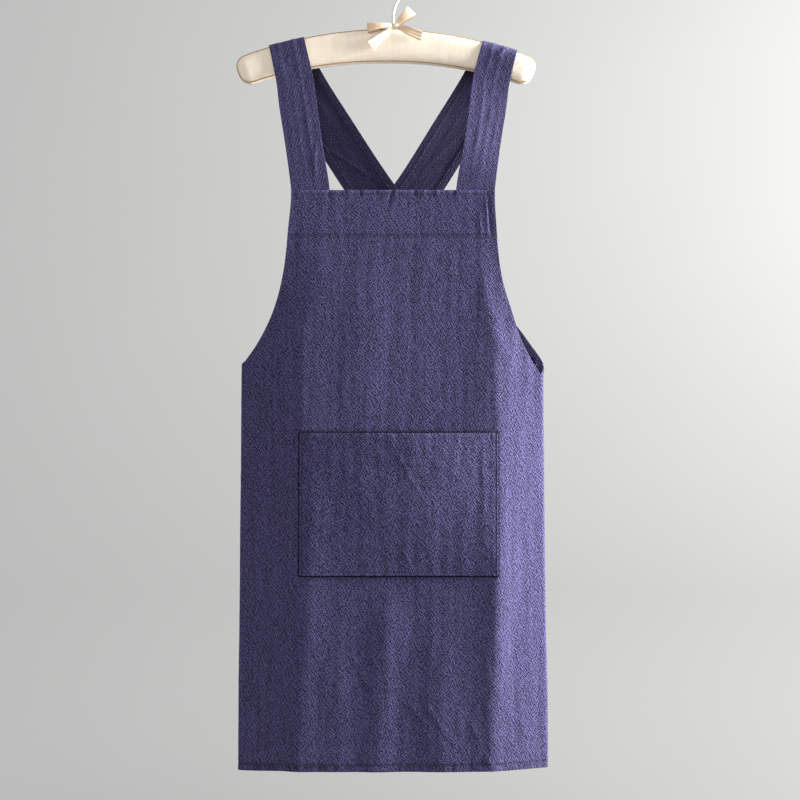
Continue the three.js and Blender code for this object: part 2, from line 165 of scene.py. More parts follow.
class Graph:
    """A node tree that is filled in one node at a time."""

    def __init__(self, tree: bpy.types.NodeTree) -> None:
        """Keeps the tree to fill."""
        self.tree = tree

    def node(self, kind: str, feeds: Feeds, **settings: object) -> bpy.types.Node:
        """Adds a node.

        Args:
            kind: Blender's name for the node.
            feeds: A socket to link or a value to set, for each input by name or number.
            settings: The node's own settings.

        Returns:
            The new node.
        """
        node = self.tree.nodes.new(kind)
        for name, value in settings.items():
            setattr(node, name, value)
        for name, feed in feeds.items():
            if isinstance(feed, bpy.types.NodeSocket):
                self.tree.links.new(feed, node.inputs[name])
            else:
                node.inputs[name].default_value = feed
        return node

    def math(self, operation: str, first: Feed, second: Feed = 0.0) -> bpy.types.NodeSocket:
        """The result of one sum on two numbers."""
        return self.node("ShaderNodeMath", {0: first, 1: second}, operation=operation).outputs[0]

    def add_scaled(self, first: Feed, second: Feed, scale: float) -> bpy.types.NodeSocket:
        """The first number plus the second one times a scale."""
        feeds = {0: second, 1: scale, 2: first}
        return self.node("ShaderNodeMath", feeds, operation="MULTIPLY_ADD").outputs[0]

    def wave(self, turns: Feed) -> bpy.types.NodeSocket:
        """A wave from -1 to 1 that repeats with each turn."""
        return self.math("SINE", self.math("MULTIPLY", turns, math.tau))

    def parts(self, vector: Feed) -> bpy.types.NodeOutputs:
        """The X, Y and Z of a vector."""
        return self.node("ShaderNodeSeparateXYZ", {0: vector}).outputs

    def mark(self, name: str) -> bpy.types.NodeSocket:
        """A number that each point of the mesh carries."""
        return self.node("ShaderNodeAttribute", {}, attribute_name=name).outputs["Fac"]

    def sized(self, vector: Feed, size: Sequence[float], turn: float = 0.0) -> bpy.types.NodeSocket:
        """Places counted in pattern sizes, with the pattern turned by some degrees."""
        feeds = {"Vector": vector, "Scale": (*size, 1.0), "Rotation": (0.0, 0.0, math.radians(turn))}
        return self.node("ShaderNodeMapping", feeds, vector_type="TEXTURE").outputs[0]

    def noise(self, vector: Feed, detail: float = 2.0, roughness: float = 0.5) -> bpy.types.NodeSocket:
        """Cloudy noise with one cloud to each unit of the vector."""
        feeds = {"Vector": vector, "Scale": 1.0, "Detail": detail, "Roughness": roughness}
        return self.node("ShaderNodeTexNoise", feeds, noise_dimensions="3D").outputs[0]

    def stretch(self, value: Feed, low: float, high: float) -> bpy.types.NodeSocket:
        """0 at low and 1 at high, held there beyond them."""
        feeds = {"Value": value, "From Min": low, "From Max": high}
        return self.node("ShaderNodeMapRange", feeds, interpolation_type="SMOOTHSTEP").outputs[0]

    def blend(self, share: Feed, low: Feed, high: Feed) -> bpy.types.NodeSocket:
        """A colour between two colours."""
        feeds = {0: share, 6: low, 7: high}
        return self.node("ShaderNodeMix", feeds, data_type="RGBA").outputs[2]


class Effect:
    """A shader node group with a place as its input, shared by several materials."""

    def __init__(self, name: str, numbers: Sequence[str], outputs: Sequence[str]) -> None:
        """Makes the group's sockets.

        Args:
            name: The group's name.
            numbers: Names of the number inputs, beside the place.
            outputs: Names of the number outputs.
        """
        self.group = bpy.data.node_groups.new(name, "ShaderNodeTree")
        face = self.group.interface
        face.new_socket("Vector", in_out="INPUT", socket_type="NodeSocketVector")
        for number in numbers:
            face.new_socket(number, in_out="INPUT", socket_type="NodeSocketFloat")
        for output in outputs:
            face.new_socket(output, in_out="OUTPUT", socket_type="NodeSocketFloat")
        self.graph = Graph(self.group)
        self.given = self.group.nodes.new("NodeGroupInput").outputs
        self.result = self.group.nodes.new("NodeGroupOutput").inputs

    def give(self, name: str, value: bpy.types.NodeSocket) -> None:
        """Sends a value out of the group."""
        self.group.links.new(value, self.result[name])

    def place_in(self, graph: Graph, vector: Feed, **numbers: float) -> bpy.types.NodeOutputs:
        """Puts the group into a material and returns its outputs."""
        feeds = {"Vector": vector, **numbers}
        return graph.node("ShaderNodeGroup", feeds, node_tree=self.group).outputs


class Effects:
    """The effects that the finishes share."""

    def __init__(self) -> None:
        """Builds each effect once."""
        self.crinkle = self._crinkle()
        self.weave = self._weave()
        self.slubs = self._slubs()
        self.mottle = self._mottle()

    def _crinkle(self) -> Effect:
        """Short fine creases in two crossing directions that come and go, as in washed crepe cotton."""
        effect = Effect("crinkle", ["Pitch"], ["Height"])
        graph = effect.graph
        place = effect.given["Vector"]
        height = graph.add_scaled(0.30, graph.noise(graph.sized(place, (0.0017, 0.0017)), 0.0), 0.40)
        for turn, reach, weight in ((37.0, (0.0046, 0.0080), 1.25), (-41.0, (0.0044, 0.0070), 0.95)):
            sway = graph.noise(graph.sized(place, (0.0090, 0.0130), turn), 1.0)
            aside = graph.parts(graph.sized(place, (1.0, 1.0), turn))["X"]
            turns = graph.add_scaled(graph.math("DIVIDE", aside, effect.given["Pitch"]), sway, 1.6)
            comes = graph.math("SUBTRACT", graph.noise(graph.sized(place, reach, turn), 1.0), 0.5)
            height = graph.add_scaled(height, graph.math("MULTIPLY", graph.wave(turns), comes), weight)
        effect.give("Height", height)
        return effect

    def _weave(self) -> Effect:
        """Crossing threads of a plain weave, with the pitch of one pair in metres."""
        effect = Effect("plain weave", ["Pitch"], ["Height"])
        graph = effect.graph
        parts = graph.parts(effect.given["Vector"])
        turns = [graph.math("DIVIDE", parts[axis], effect.given["Pitch"]) for axis in ("X", "Y")]
        waves = [graph.wave(turn) for turn in turns]
        effect.give("Height", graph.add_scaled(0.5, graph.math("MULTIPLY", *waves), 0.5))
        return effect

    def _slubs(self) -> Effect:
        """Thick and thin stretches of the threads, mostly along the cloth's length."""
        effect = Effect("slubs", [], ["Height"])
        graph = effect.graph
        place = effect.given["Vector"]
        upright = graph.noise(graph.sized(place, (0.0038, 0.050)), 2.0, 0.55)
        broad = graph.noise(graph.sized(place, (0.0075, 0.110)), 1.0)
        level = graph.noise(graph.sized(place, (0.040, 0.0014)), 2.0)
        both = graph.add_scaled(graph.math("MULTIPLY", upright, 0.42), level, 0.20)
        effect.give("Height", graph.add_scaled(both, broad, 0.38))
        return effect

    def _mottle(self) -> Effect:
        """Broad uneven fading, from 0 to 1, with its size in metres."""
        effect = Effect("mottle", ["Size"], ["Tone"])
        graph = effect.graph
        shrink = graph.math("DIVIDE", 1.0, effect.given["Size"])
        feeds = {0: effect.given["Vector"], "Scale": shrink}
        scaled = graph.node("ShaderNodeVectorMath", feeds, operation="SCALE").outputs[0]
        effect.give("Tone", graph.noise(scaled, 4.0, 0.55))
        return effect


# Finishes


def new_material(name: str, constants: Feeds) -> tuple[bpy.types.Material, Graph, bpy.types.Node]:
    """Starts a material.

    Args:
        name: The material's name.
        constants: Plain values of its Principled shader.

    Returns:
        The material, its graph and its Principled shader.
    """
    material = bpy.data.materials.new(name)
    material.use_nodes = True
    tree = material.node_tree
    tree.nodes.clear()
    graph = Graph(tree)
    shader = graph.node("ShaderNodeBsdfPrincipled", constants)
    graph.node("ShaderNodeOutputMaterial", {"Surface": shader.outputs[0]})
    return material, graph, shader


def cut_places(graph: Graph) -> bpy.types.NodeSocket:
    """Places in the flat cut of a piece of cloth, in metres."""
    return graph.node("ShaderNodeUVMap", {}, uv_map="cut").outputs[0]


def object_places(graph: Graph) -> bpy.types.NodeSocket:
    """Places in the object's own frame, in metres."""
    return graph.node("ShaderNodeTexCoord", {}).outputs["Object"]


def feed_bump(graph: Graph, shader: bpy.types.Node, height: Feed, depth: float) -> None:
    """Gives a shader its fine relief, as deep as the height's whole range."""
    bump = graph.node("ShaderNodeBump", {"Height": height, "Distance": depth, "Strength": 1.0})
    graph.tree.links.new(bump.outputs[0], shader.inputs["Normal"])


@dataclass(frozen=True)
class CrinkledCotton:
    """Washed indigo cotton, crinkled all over: lighter ridges and darker valleys, partly fading and partly
    painted shade; dark seams; painted shade in gaps, painted highlight with some edge wear on rims.
    """

    name: str = "indigo_crinkled_cotton"
    # valley and ridge: the crinkle's dark and light tones, partly fading and partly painted shade of its
    # fine relief
    valley: Colour = (0.0090, 0.0072, 0.028, 1.0)
    ridge: Colour = (0.0870, 0.0760, 0.186, 1.0)
    seam: Colour = (0.014, 0.012, 0.036, 1.0)
    deep: Colour = (0.0030, 0.0025, 0.0090, 1.0)  # painted shade colour for narrow gaps and folds
    is_outer: bool = True
    contrast: float = 3.9  # of the crinkle's tones
    base_tone: float = -0.155
    slub_tone: float = 1.10
    fade_tone: float = 0.15
    # The next tone lightens rims: painted highlight with some edge wear.
    wear_and_highlight_tone: float = 0.5
    seam_shown: float = 1.0
    crease_pitch: float = 0.0029
    thread_pitch: float = 0.0011
    stitch_pitch: float = 0.0042
    fade_size: float = 0.11
    relief: float = 0.0010
    weave_height: float = 0.10  # this and the next two beside the crinkle's height
    slub_height: float = 0.35
    seam_height: float = -0.5
    gloss: float = 0.25
    sheen: float = 0.14

    def material(self, effects: Effects) -> bpy.types.Material:
        """Mixes the finish.

        Args:
            effects: The shared shader effects.

        Returns:
            The material.
        """
        constants = {
            "Roughness": 0.92,
            "Specular IOR Level": self.gloss,
            "Sheen Weight": self.sheen,
            "Sheen Roughness": 0.45,
            "Sheen Tint": (0.62, 0.60, 0.95, 1.0),
        }
        material, graph, shader = new_material(self.name, constants)
        cut = cut_places(graph)
        crinkle = effects.crinkle.place_in(graph, cut, Pitch=self.crease_pitch)["Height"]
        weave = effects.weave.place_in(graph, cut, Pitch=self.thread_pitch)["Height"]
        slubs = effects.slubs.place_in(graph, cut)["Height"]
        fade = effects.mottle.place_in(graph, cut, Size=self.fade_size)["Tone"]
        # The shade mark paints shade in gaps and folds with the deep colour; below 0 it paints lighter
        # rims, painted highlight with some edge wear.
        shade = graph.mark("shade") if self.is_outer else 0.0
        wear_and_highlight = graph.math("MAXIMUM", graph.math("MULTIPLY", shade, -1.0), 0.0)
        # The crinkle's tones: partly fading on its ridges, partly painted shade in its valleys.
        tone = graph.add_scaled(self.base_tone - 0.5 * self.contrast, crinkle, self.contrast)
        for part, weight in ((slubs, self.slub_tone), (fade, self.fade_tone), (wear_and_highlight, self.wear_and_highlight_tone)):
            tone = graph.add_scaled(tone, part, weight)
        cloth = graph.blend(tone, self.valley, self.ridge)
        pits = graph.stretch(graph.noise(graph.sized(cut, (self.stitch_pitch,) * 2), 1.0), 0.40, 0.60)
        near_seam = graph.math("MULTIPLY", graph.mark("seam"), self.seam_shown)
        near_seam = graph.math("MINIMUM", near_seam, 1.0)
        pitted = graph.math("MULTIPLY", near_seam, graph.add_scaled(0.60, pits, 0.38))
        # Dark seams, then painted shade from the shade mark.
        seams_and_painted_shade = graph.blend(shade, graph.blend(pitted, cloth, self.seam), self.deep)
        graph.tree.links.new(seams_and_painted_shade, shader.inputs["Base Color"])
        height = graph.add_scaled(crinkle, weave, self.weave_height)
        height = graph.add_scaled(height, slubs, self.slub_height)
        height = graph.add_scaled(height, pitted, self.seam_height)
        feed_bump(graph, shader, height, self.relief)
        return material


FRONT_COTTON = CrinkledCotton()
# Painted shade: a darker copy of the cotton for the inner side of the apron and the straps, which lies in
# shade; its seams show darker, partly painted shadow at the turned hems.
SHADED_INNER_SIDE = CrinkledCotton(
    name="indigo_cotton_inner_side_painted_shade",
    valley=(0.0062, 0.0048, 0.0185, 1.0),
    ridge=(0.043, 0.036, 0.098, 1.0),
    seam=(0.0015, 0.0012, 0.0050, 1.0),
    is_outer=False,
    contrast=1.4,
    seam_shown=3.3,
)
POCKET_COTTON = CrinkledCotton("indigo_crinkled_pocket", contrast=4.9)
# Painted shade: a dark copy without gloss or sheen for the pocket's sewn rim, where a narrow gap lies in
# shade.
POCKET_RIM_SHADE = CrinkledCotton(
    name="indigo_pocket_rim_painted_shade",
    valley=(0.0030, 0.0025, 0.0090, 1.0),
    ridge=(0.0120, 0.0100, 0.0300, 1.0),
    contrast=2.0,
    relief=0.0004,
    gloss=0.0,
    sheen=0.0,
)
STRAP_COTTON = CrinkledCotton("indigo_crinkled_strap", contrast=2.5, relief=0.0007)


@dataclass(frozen=True)
class MottledFinish:
    """A plain finish that varies a little in tone, as thread and paint do."""

    name: str
    shade: Colour
    light: Colour
    size: float  # of its patches
    roughness: float
    relief: float = 0.0

    def material(self, effects: Effects) -> bpy.types.Material:
        """Mixes the finish from the shared effects."""
        material, graph, shader = new_material(self.name, {"Roughness": self.roughness})
        tone = effects.mottle.place_in(graph, object_places(graph), Size=self.size)["Tone"]
        graph.tree.links.new(graph.blend(tone, self.shade, self.light), shader.inputs["Base Color"])
        if self.relief:
            feed_bump(graph, shader, tone, self.relief)
        return material


INDIGO_THREAD = MottledFinish(
    "indigo_thread",
    shade=(0.020, 0.017, 0.050, 1.0),
    light=(0.075, 0.070, 0.150, 1.0),
    size=0.004,
    roughness=0.7,
    relief=0.0002,
)
GOLDEN_PIPING = MottledFinish(
    "golden_piping",
    shade=(0.26, 0.13, 0.04, 1.0),
    light=(0.55, 0.34, 0.14, 1.0),
    size=0.004,
    roughness=0.7,
    relief=0.0002,
)
HOOK_PAINT = MottledFinish(
    "off_white_paint",
    shade=(0.66, 0.63, 0.57, 1.0),
    light=(0.86, 0.84, 0.79, 1.0),
    size=0.006,
    roughness=0.35,
    relief=0.0001,
)
ROOM_PAINT = MottledFinish(
    "pale_studio_paint",
    shade=(0.62, 0.625, 0.605, 1.0),
    light=(0.66, 0.665, 0.645, 1.0),
    size=1.2,
    roughness=0.95,
)


@dataclass(frozen=True)
class CoverCloth:
    """Cream cotton that covers the hanger's padding."""

    name: str = "cream_cover_cloth"
    shade: Colour = (0.79, 0.655, 0.50, 1.0)
    light: Colour = (0.94, 0.83, 0.685, 1.0)
    thread_pitch: float = 0.0013
    fade_size: float = 0.012
    relief: float = 0.00022

    def material(self, effects: Effects) -> bpy.types.Material:
        """Mixes the finish.

        Args:
            effects: The shared shader effects.

        Returns:
            The material.
        """
        material, graph, shader = new_material(self.name, {"Roughness": 0.85, "Sheen Weight": 0.15})
        places = object_places(graph)
        parts = graph.parts(places)
        face = graph.node("ShaderNodeCombineXYZ", {"X": parts["X"], "Y": parts["Z"]}).outputs[0]
        weave = effects.weave.place_in(graph, face, Pitch=self.thread_pitch)["Height"]
        slubs = effects.slubs.place_in(graph, face)["Height"]
        fade = effects.mottle.place_in(graph, places, Size=self.fade_size)["Tone"]
        tone = graph.math("MULTIPLY", weave, 0.10)
        tone = graph.add_scaled(tone, slubs, 0.60)
        tone = graph.add_scaled(tone, fade, 0.50)
        graph.tree.links.new(graph.blend(tone, self.shade, self.light), shader.inputs["Base Color"])
        feed_bump(graph, shader, graph.add_scaled(weave, slubs, 2.0), self.relief)
        return material


@dataclass(frozen=True)
class SatinRibbon:
    """Cream satin ribbon with fine ribs across it, tan where its less glossy back shows and as painted
    shade inside its loops, and a dark painted shadow along one edge.
    """

    name: str = "cream_satin_ribbon"
    shade: Colour = (0.74, 0.61, 0.44, 1.0)
    light: Colour = (0.84, 0.75, 0.59, 1.0)
    dull_back_and_shade: Colour = (0.66, 0.43, 0.26, 1.0)
    painted_edge_shadow: Colour = (0.20, 0.10, 0.035, 1.0)
    rib_pitch: float = 0.0009
    fade_size: float = 0.02
    relief: float = 0.00012

    def material(self, effects: Effects) -> bpy.types.Material:
        """Mixes the finish.

        Args:
            effects: The shared shader effects.

        Returns:
            The material.
        """
        material, graph, shader = new_material(self.name, {"Roughness": 0.42, "Sheen Weight": 0.2})
        cut = cut_places(graph)
        weave = effects.weave.place_in(graph, cut, Pitch=self.rib_pitch)["Height"]
        fade = effects.mottle.place_in(graph, cut, Size=self.fade_size)["Tone"]
        tone = graph.add_scaled(graph.math("MULTIPLY", fade, 0.7), weave, 0.3)
        bright = graph.blend(tone, self.shade, self.light)
        # The seam mark paints tan from 0 to 1, for the ribbon's less glossy back and as painted shade
        # inside the loops, and above 1 a dark painted shadow along one edge.
        back_and_shade = graph.mark("seam")
        faced = graph.blend(back_and_shade, bright, self.dull_back_and_shade)
        edge_shadowed = graph.blend(graph.math("SUBTRACT", back_and_shade, 1.0), faced, self.painted_edge_shadow)
        graph.tree.links.new(edge_shadowed, shader.inputs["Base Color"])
        feed_bump(graph, shader, weave, self.relief)
        return material


# Mesh helpers


@dataclass
class ClothPoint:
    """One point of a piece of cloth."""

    place: Vector
    flat: tuple[float, float]  # where it was in the flat cut
    relief: float = 0.0  # how far it stands out along the cloth's normal
    layers: float = 0.5  # its thickness, as a share of a hemmed edge
    seam: float = 0.0  # 1 on a row of stitches, and at the pocket's sewn edges as painted shade; on the ribbon, the tan of its less glossy back and of painted shade, and 2 on an edge with a dark painted shadow
    shade: float = 0.0  # painted shade: 1 where its outer side lies in a narrow gap or fold; below 0 a lighter rim of painted highlight with some edge wear


def add_object(name: str, mesh: bmesh.types.BMesh) -> bpy.types.Object:
    """Turns a mesh into a smooth object.

    Args:
        name: The object's name.
        mesh: The mesh, which is freed.

    Returns:
        The object, linked to the scene.
    """
    data = bpy.data.meshes.new(name)
    mesh.to_mesh(data)
    mesh.free()
    data.shade_smooth()
    item = bpy.data.objects.new(name, data)
    bpy.context.scene.collection.objects.link(item)
    return item


def spin_round(mesh: bmesh.types.BMesh, geom: Profile, height: float, steps: int) -> None:
    """Spins a profile once round the upright axis.

    Args:
        mesh: The mesh.
        geom: The profile's vertices and edges.
        height: The height of the spin's centre.
        steps: Number of steps in the full turn.
    """
    centre, upright = (0.0, 0.0, height), (0.0, 0.0, 1.0)
    bmesh.ops.spin(
        mesh, geom=geom, cent=centre, axis=upright, angle=math.tau, steps=steps, use_merge=True
    )


def close_up(mesh: bmesh.types.BMesh, gap: float = 1e-6) -> None:
    """Merges the doubles of a mesh and turns its faces outwards."""
    bmesh.ops.remove_doubles(mesh, verts=mesh.verts, dist=gap)
    bmesh.ops.recalc_face_normals(mesh, faces=mesh.faces)


def cloth_object(
    name: str,
    columns: int,
    rows: int,
    point: Callable[[int, int], ClothPoint],
    is_kept: Callable[[int, int], bool] | None = None,
    wall: float = HEMMED,
) -> bpy.types.Object:
    """Makes a piece of cloth from a grid, with its thickness on its inner side.

    Args:
        name: The object's name.
        columns: Number of cells across, counted from the left of someone who looks at its outer side.
        rows: Number of cells from the top down.
        point: Gives the point at a column and a row.
        is_kept: Says whether the cell that starts at a column and a row is cloth.
        wall: Thickness where layers is 1.

    Returns:
        The object.
    """
    mesh = bmesh.new()
    bmesh.ops.create_grid(mesh, x_segments=columns, y_segments=rows, size=1.0)
    seam = mesh.verts.layers.float.new("seam")
    shade = mesh.verts.layers.float.new("shade")
    spots = {
        vertex: (round((vertex.co.x + 1) * columns / 2), round((1 - vertex.co.y) * rows / 2))
        for vertex in mesh.verts
    }
    if is_kept:
        corners = {face: zip(*(spots[vertex] for vertex in face.verts)) for face in mesh.faces}
        cut_away = [face for face, places in corners.items() if not is_kept(*map(min, places))]
        bmesh.ops.delete(mesh, geom=cut_away, context="FACES")
    points = {vertex: point(*spots[vertex]) for vertex in mesh.verts}
    for vertex, spot in points.items():
        vertex.co = spot.place
        vertex[seam] = spot.seam
        vertex[shade] = spot.shade
    mesh.normal_update()
    for vertex, spot in points.items():
        vertex.co += vertex.normal * spot.relief
    cut = mesh.loops.layers.uv.new("cut")
    for face in mesh.faces:
        for loop in face.loops:
            loop[cut].uv = points[loop.vert].flat
    mesh.verts.index_update()
    weights: dict[float, list[int]] = {}
    for vertex, spot in points.items():
        weights.setdefault(round(spot.layers, 3), []).append(vertex.index)
    item = add_object(name, mesh)
    group = item.vertex_groups.new(name="layers")
    for weight, indices in weights.items():
        group.add(indices, weight, "REPLACE")
    thicken(item, wall)
    return item


def thicken(item: bpy.types.Object, wall: float) -> None:
    """Gives a sheet its thickness and rounds its rim.

    Args:
        item: The sheet.
        wall: Its thickness where the vertex group layers is 1.
    """
    solid = item.modifiers.new("wall", "SOLIDIFY")
    solid.thickness = wall
    solid.offset = -1.0
    solid.vertex_group = "layers"
    solid.use_quality_normals = True
    rim = item.modifiers.new("rim", "BEVEL")
    rim.limit_method = "ANGLE"
    rim.angle_limit = math.radians(65)
    rim.width = CLOTH / 4
    rim.segments = 2
    rim.profile = 0.5


def tube_mesh(path: Sequence[Vector], radius: float, sides: int) -> bmesh.types.BMesh:
    """Makes a tube along a closed path.

    Args:
        path: Places along the middle of the tube, without the first one again at the end.
        radius: The tube's radius.
        sides: Number of faces round it.

    Returns:
        The mesh.
    """
    count = len(path)
    mesh = bmesh.new()
    bmesh.ops.create_grid(mesh, x_segments=count, y_segments=sides, size=1.0)
    for vertex in mesh.verts:
        step = round((vertex.co.x + 1) * count / 2) % count
        angle = math.pi * (vertex.co.y + 1)
        along = (path[(step + 1) % count] - path[step - 1]).normalized()
        beside = along.cross(BACKWARD).normalized()
        above = beside.cross(along)
        vertex.co = path[step] + radius * (beside * math.cos(angle) + above * math.sin(angle))
    close_up(mesh, radius / 50)
    return mesh


def surface_of(item: bpy.types.Object) -> BVHTree:
    """The object's finished surface, for laying things on."""
    return BVHTree.FromObject(item, bpy.context.evaluated_depsgraph_get())


def put_on(item: bpy.types.Object, material: bpy.types.Material, slot: str, *nodes: str) -> None:
    """Finishes a piece: its material, its body and the nodes that it stands for.

    Args:
        item: The piece.
        material: Its material.
        slot: The record's material slot; not used.
        nodes: The CAD nodes that it replaces.
    """
    item.data.materials.append(material)
    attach(item, BODY)
    if nodes:
        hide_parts(*nodes)
    LOG.info("%s: %d faces before its modifiers", item.name, len(item.data.polygons))


def line_with(item: bpy.types.Object, material: bpy.types.Material, shows_hems: bool = False) -> None:
    """Gives the inner side of a sheet a material of its own.

    Args:
        item: The sheet.
        material: The inner side's material.
        shows_hems: Whether the hems, which are turned in, show their outer side there.
    """
    item.data.materials.append(material)
    item.modifiers["wall"].material_offset = 1
    if not shows_hems:
        return
    for _ in range(2):
        item.data.materials.append(item.data.materials[0])
    for face in item.data.polygons:
        if all(item.data.vertices[corner].groups[0].weight > 0.99 for corner in face.vertices):
            face.material_index = 2


# Stitches


@dataclass
class StitchRows:
    """Rows of machine stitches on one piece of cloth."""

    name: str
    surface: BVHTree
    length: float = 0.0024
    pitch: float = 0.0033
    width: float = 0.0007
    height: float = 0.0005
    reach: float = 0.03
    around: int = 6
    rings: int = 5
    places: list[Matrix] = field(default_factory=list)

    def sew(self, path: Sequence[Vector], outward: Sequence[Vector]) -> None:
        """Lays stitches along a path.

        Args:
            path: Places near the cloth along the row.
            outward: At each of these places, the side of the cloth that the stitches lie on.
        """
        done = 0.0
        due = self.pitch / 2
        for here, ahead, side in zip(path, path[1:], outward):
            span = (ahead - here).length
            while due <= done + span:
                place = here.lerp(ahead, (due - done) / span)
                self._lay(place, (ahead - here) / span, side)
                due += self.pitch
            done += span

    def _lay(self, place: Vector, along: Vector, side: Vector) -> None:
        """Lays one stitch on the cloth under a place.

        Args:
            place: Near where the stitch goes.
            along: The direction of the row.
            side: The side of the cloth that it lies on.
        """
        spot, normal, _, _ = self.surface.ray_cast(place + side * self.reach, -side, 2 * self.reach)
        if spot is None:
            return
        across = normal.cross(along).normalized()
        lengthwise = across.cross(normal)
        turn = Matrix((lengthwise, across, normal)).transposed().to_4x4()
        size = Matrix.Diagonal((self.length / 2, self.width / 2, self.height / 2, 1.0))
        self.places.append(Matrix.Translation(spot) @ turn @ size)

    def finish(self, thread: bpy.types.Material) -> bpy.types.Object:
        """Makes the rows one piece.

        Args:
            thread: The thread's material.

        Returns:
            The piece.
        """
        mesh = bmesh.new()
        rows = len(self.places) * self.rings - 1
        bmesh.ops.create_grid(mesh, x_segments=self.around, y_segments=rows, size=1.0)
        numbers = {vertex: round((1 - vertex.co.y) * rows / 2) for vertex in mesh.verts}
        between = [face for face in mesh.faces if len({numbers[v] // self.rings for v in face.verts}) > 1]
        for vertex, number in numbers.items():
            stitch, ring = divmod(number, self.rings)
            polar = math.pi * ring / (self.rings - 1)
            angle = math.pi * (vertex.co.x + 1)
            round_place = (math.sin(polar) * math.cos(angle), math.sin(polar) * math.sin(angle))
            vertex.co = self.places[stitch] @ Vector((math.cos(polar), *round_place))
        bmesh.ops.delete(mesh, geom=between, context="FACES")
        close_up(mesh)
        item = add_object(self.name, mesh)
        put_on(item, thread, "indigo_cloth")
        return item


# Apron


@dataclass(frozen=True)
class Side:
    """One side of the apron: half widths, and the drop where its armhole ends."""

    sign: int
    armhole: float
    waist: float
    hem: float
    crease_top: float
    crease_hem: float
    sewn: float  # where the other side's strap is sewn to the flap
    flare: float  # how much wider the bib is at the foot of its band
    drawn_in: float  # how much narrower the skirt is beside the pocket
    sag: float  # how much longer the hem hangs at the side
    notch: float  # how far the flap's top edge hangs below the front's end of the armhole
    bib_crease: float  # where the bib turns back, as a share of its half width
    swell: float = 0.0  # how much fuller the armhole's lower part is
    bib_turn: float = 1.0  # how much of the skirt's turn the bib has

    @property
    def flap_top(self) -> float:
        """Drop of the flap's top edge."""
        return self.armhole + self.notch


LEFT = Side(
    sign=-1,
    armhole=0.218,
    waist=0.193,
    hem=0.198,
    crease_top=0.115,
    crease_hem=0.123,
    sewn=0.136,
    flare=0.0032,
    drawn_in=0.0,
    sag=0.0050,
    notch=0.0045,
    bib_crease=0.70,
)
RIGHT = Side(
    sign=1,
    armhole=0.2335,
    waist=0.194,
    hem=0.198,
    crease_top=0.1375,
    crease_hem=0.127,
    sewn=0.155,
    flare=0.0016,
    drawn_in=0.0022,
    sag=0.0016,
    notch=-0.0120,
    bib_crease=0.83,
    swell=0.0030,
    bib_turn=0.5,
)


@dataclass(frozen=True)
class Crest:
    """A soft upright fold that leans from x at its top to x_hem at its foot."""

    x: float
    x_hem: float
    top: float
    foot: float
    reach: float
    height: float
    fade: float = 0.09

    def lift(self, x: float, drop: float) -> float:
        """How far the fold stands out at a place."""
        along = clamp((drop - self.top) / (self.foot - self.top))
        starts = smoothstep(drop, self.top, self.top + self.fade)
        ends = 1 - smoothstep(drop, self.foot - self.fade, self.foot) if self.foot < LENGTH else 1.0
        return self.height * bell(x - lerp(self.x, self.x_hem, along), self.reach) * starts * ends


@dataclass(frozen=True)
class Crease:
    """A short line that stands out of the cloth, or sinks into it where its height is negative."""

    x: float
    drop: float
    x_end: float
    drop_end: float
    reach: float = 0.0022
    height: float = 0.0010

    def lift(self, x: float, drop: float) -> float:
        """How far the crease stands out.

        Args:
            x: Place across.
            drop: Place down.

        Returns:
            The height there.
        """
        run_x, run_drop = self.x_end - self.x, self.drop_end - self.drop
        length = math.hypot(run_x, run_drop)
        aside = ((x - self.x) * run_drop - (drop - self.drop) * run_x) / length
        if abs(aside) > 3 * self.reach:
            return 0.0
        share = ((x - self.x) * run_x + (drop - self.drop) * run_drop) / length**2
        ends = smoothstep(share, -0.15, 0.25) * (1 - smoothstep(share, 0.75, 1.15))
        return self.height * bell(aside, self.reach) * ends


@dataclass(frozen=True)
class Ruffle:
    """Soft uneven relief: its height, its size across and down, and its layer of the noise."""

    height: float
    across: float
    down: float
    layer: float

    def lift(self, x: float, drop: float, sign: int = 1) -> float:
        """How far it stands out at a place, with a pattern of its own for each sign."""
        return self.height * ripple(x / self.across, drop / self.down, self.layer * sign)


@dataclass(frozen=True)
class Section:
    """How the cloth lies at one drop on one side."""

    half: float  # half the width of the skirt
    turn: float  # angle of the front's side parts
    edge: float  # from the middle to the front's edge
    crease: float  # from the middle to where the front turns back
    setback: float  # how far back the edge lies
    middle: float  # depth of the front's middle


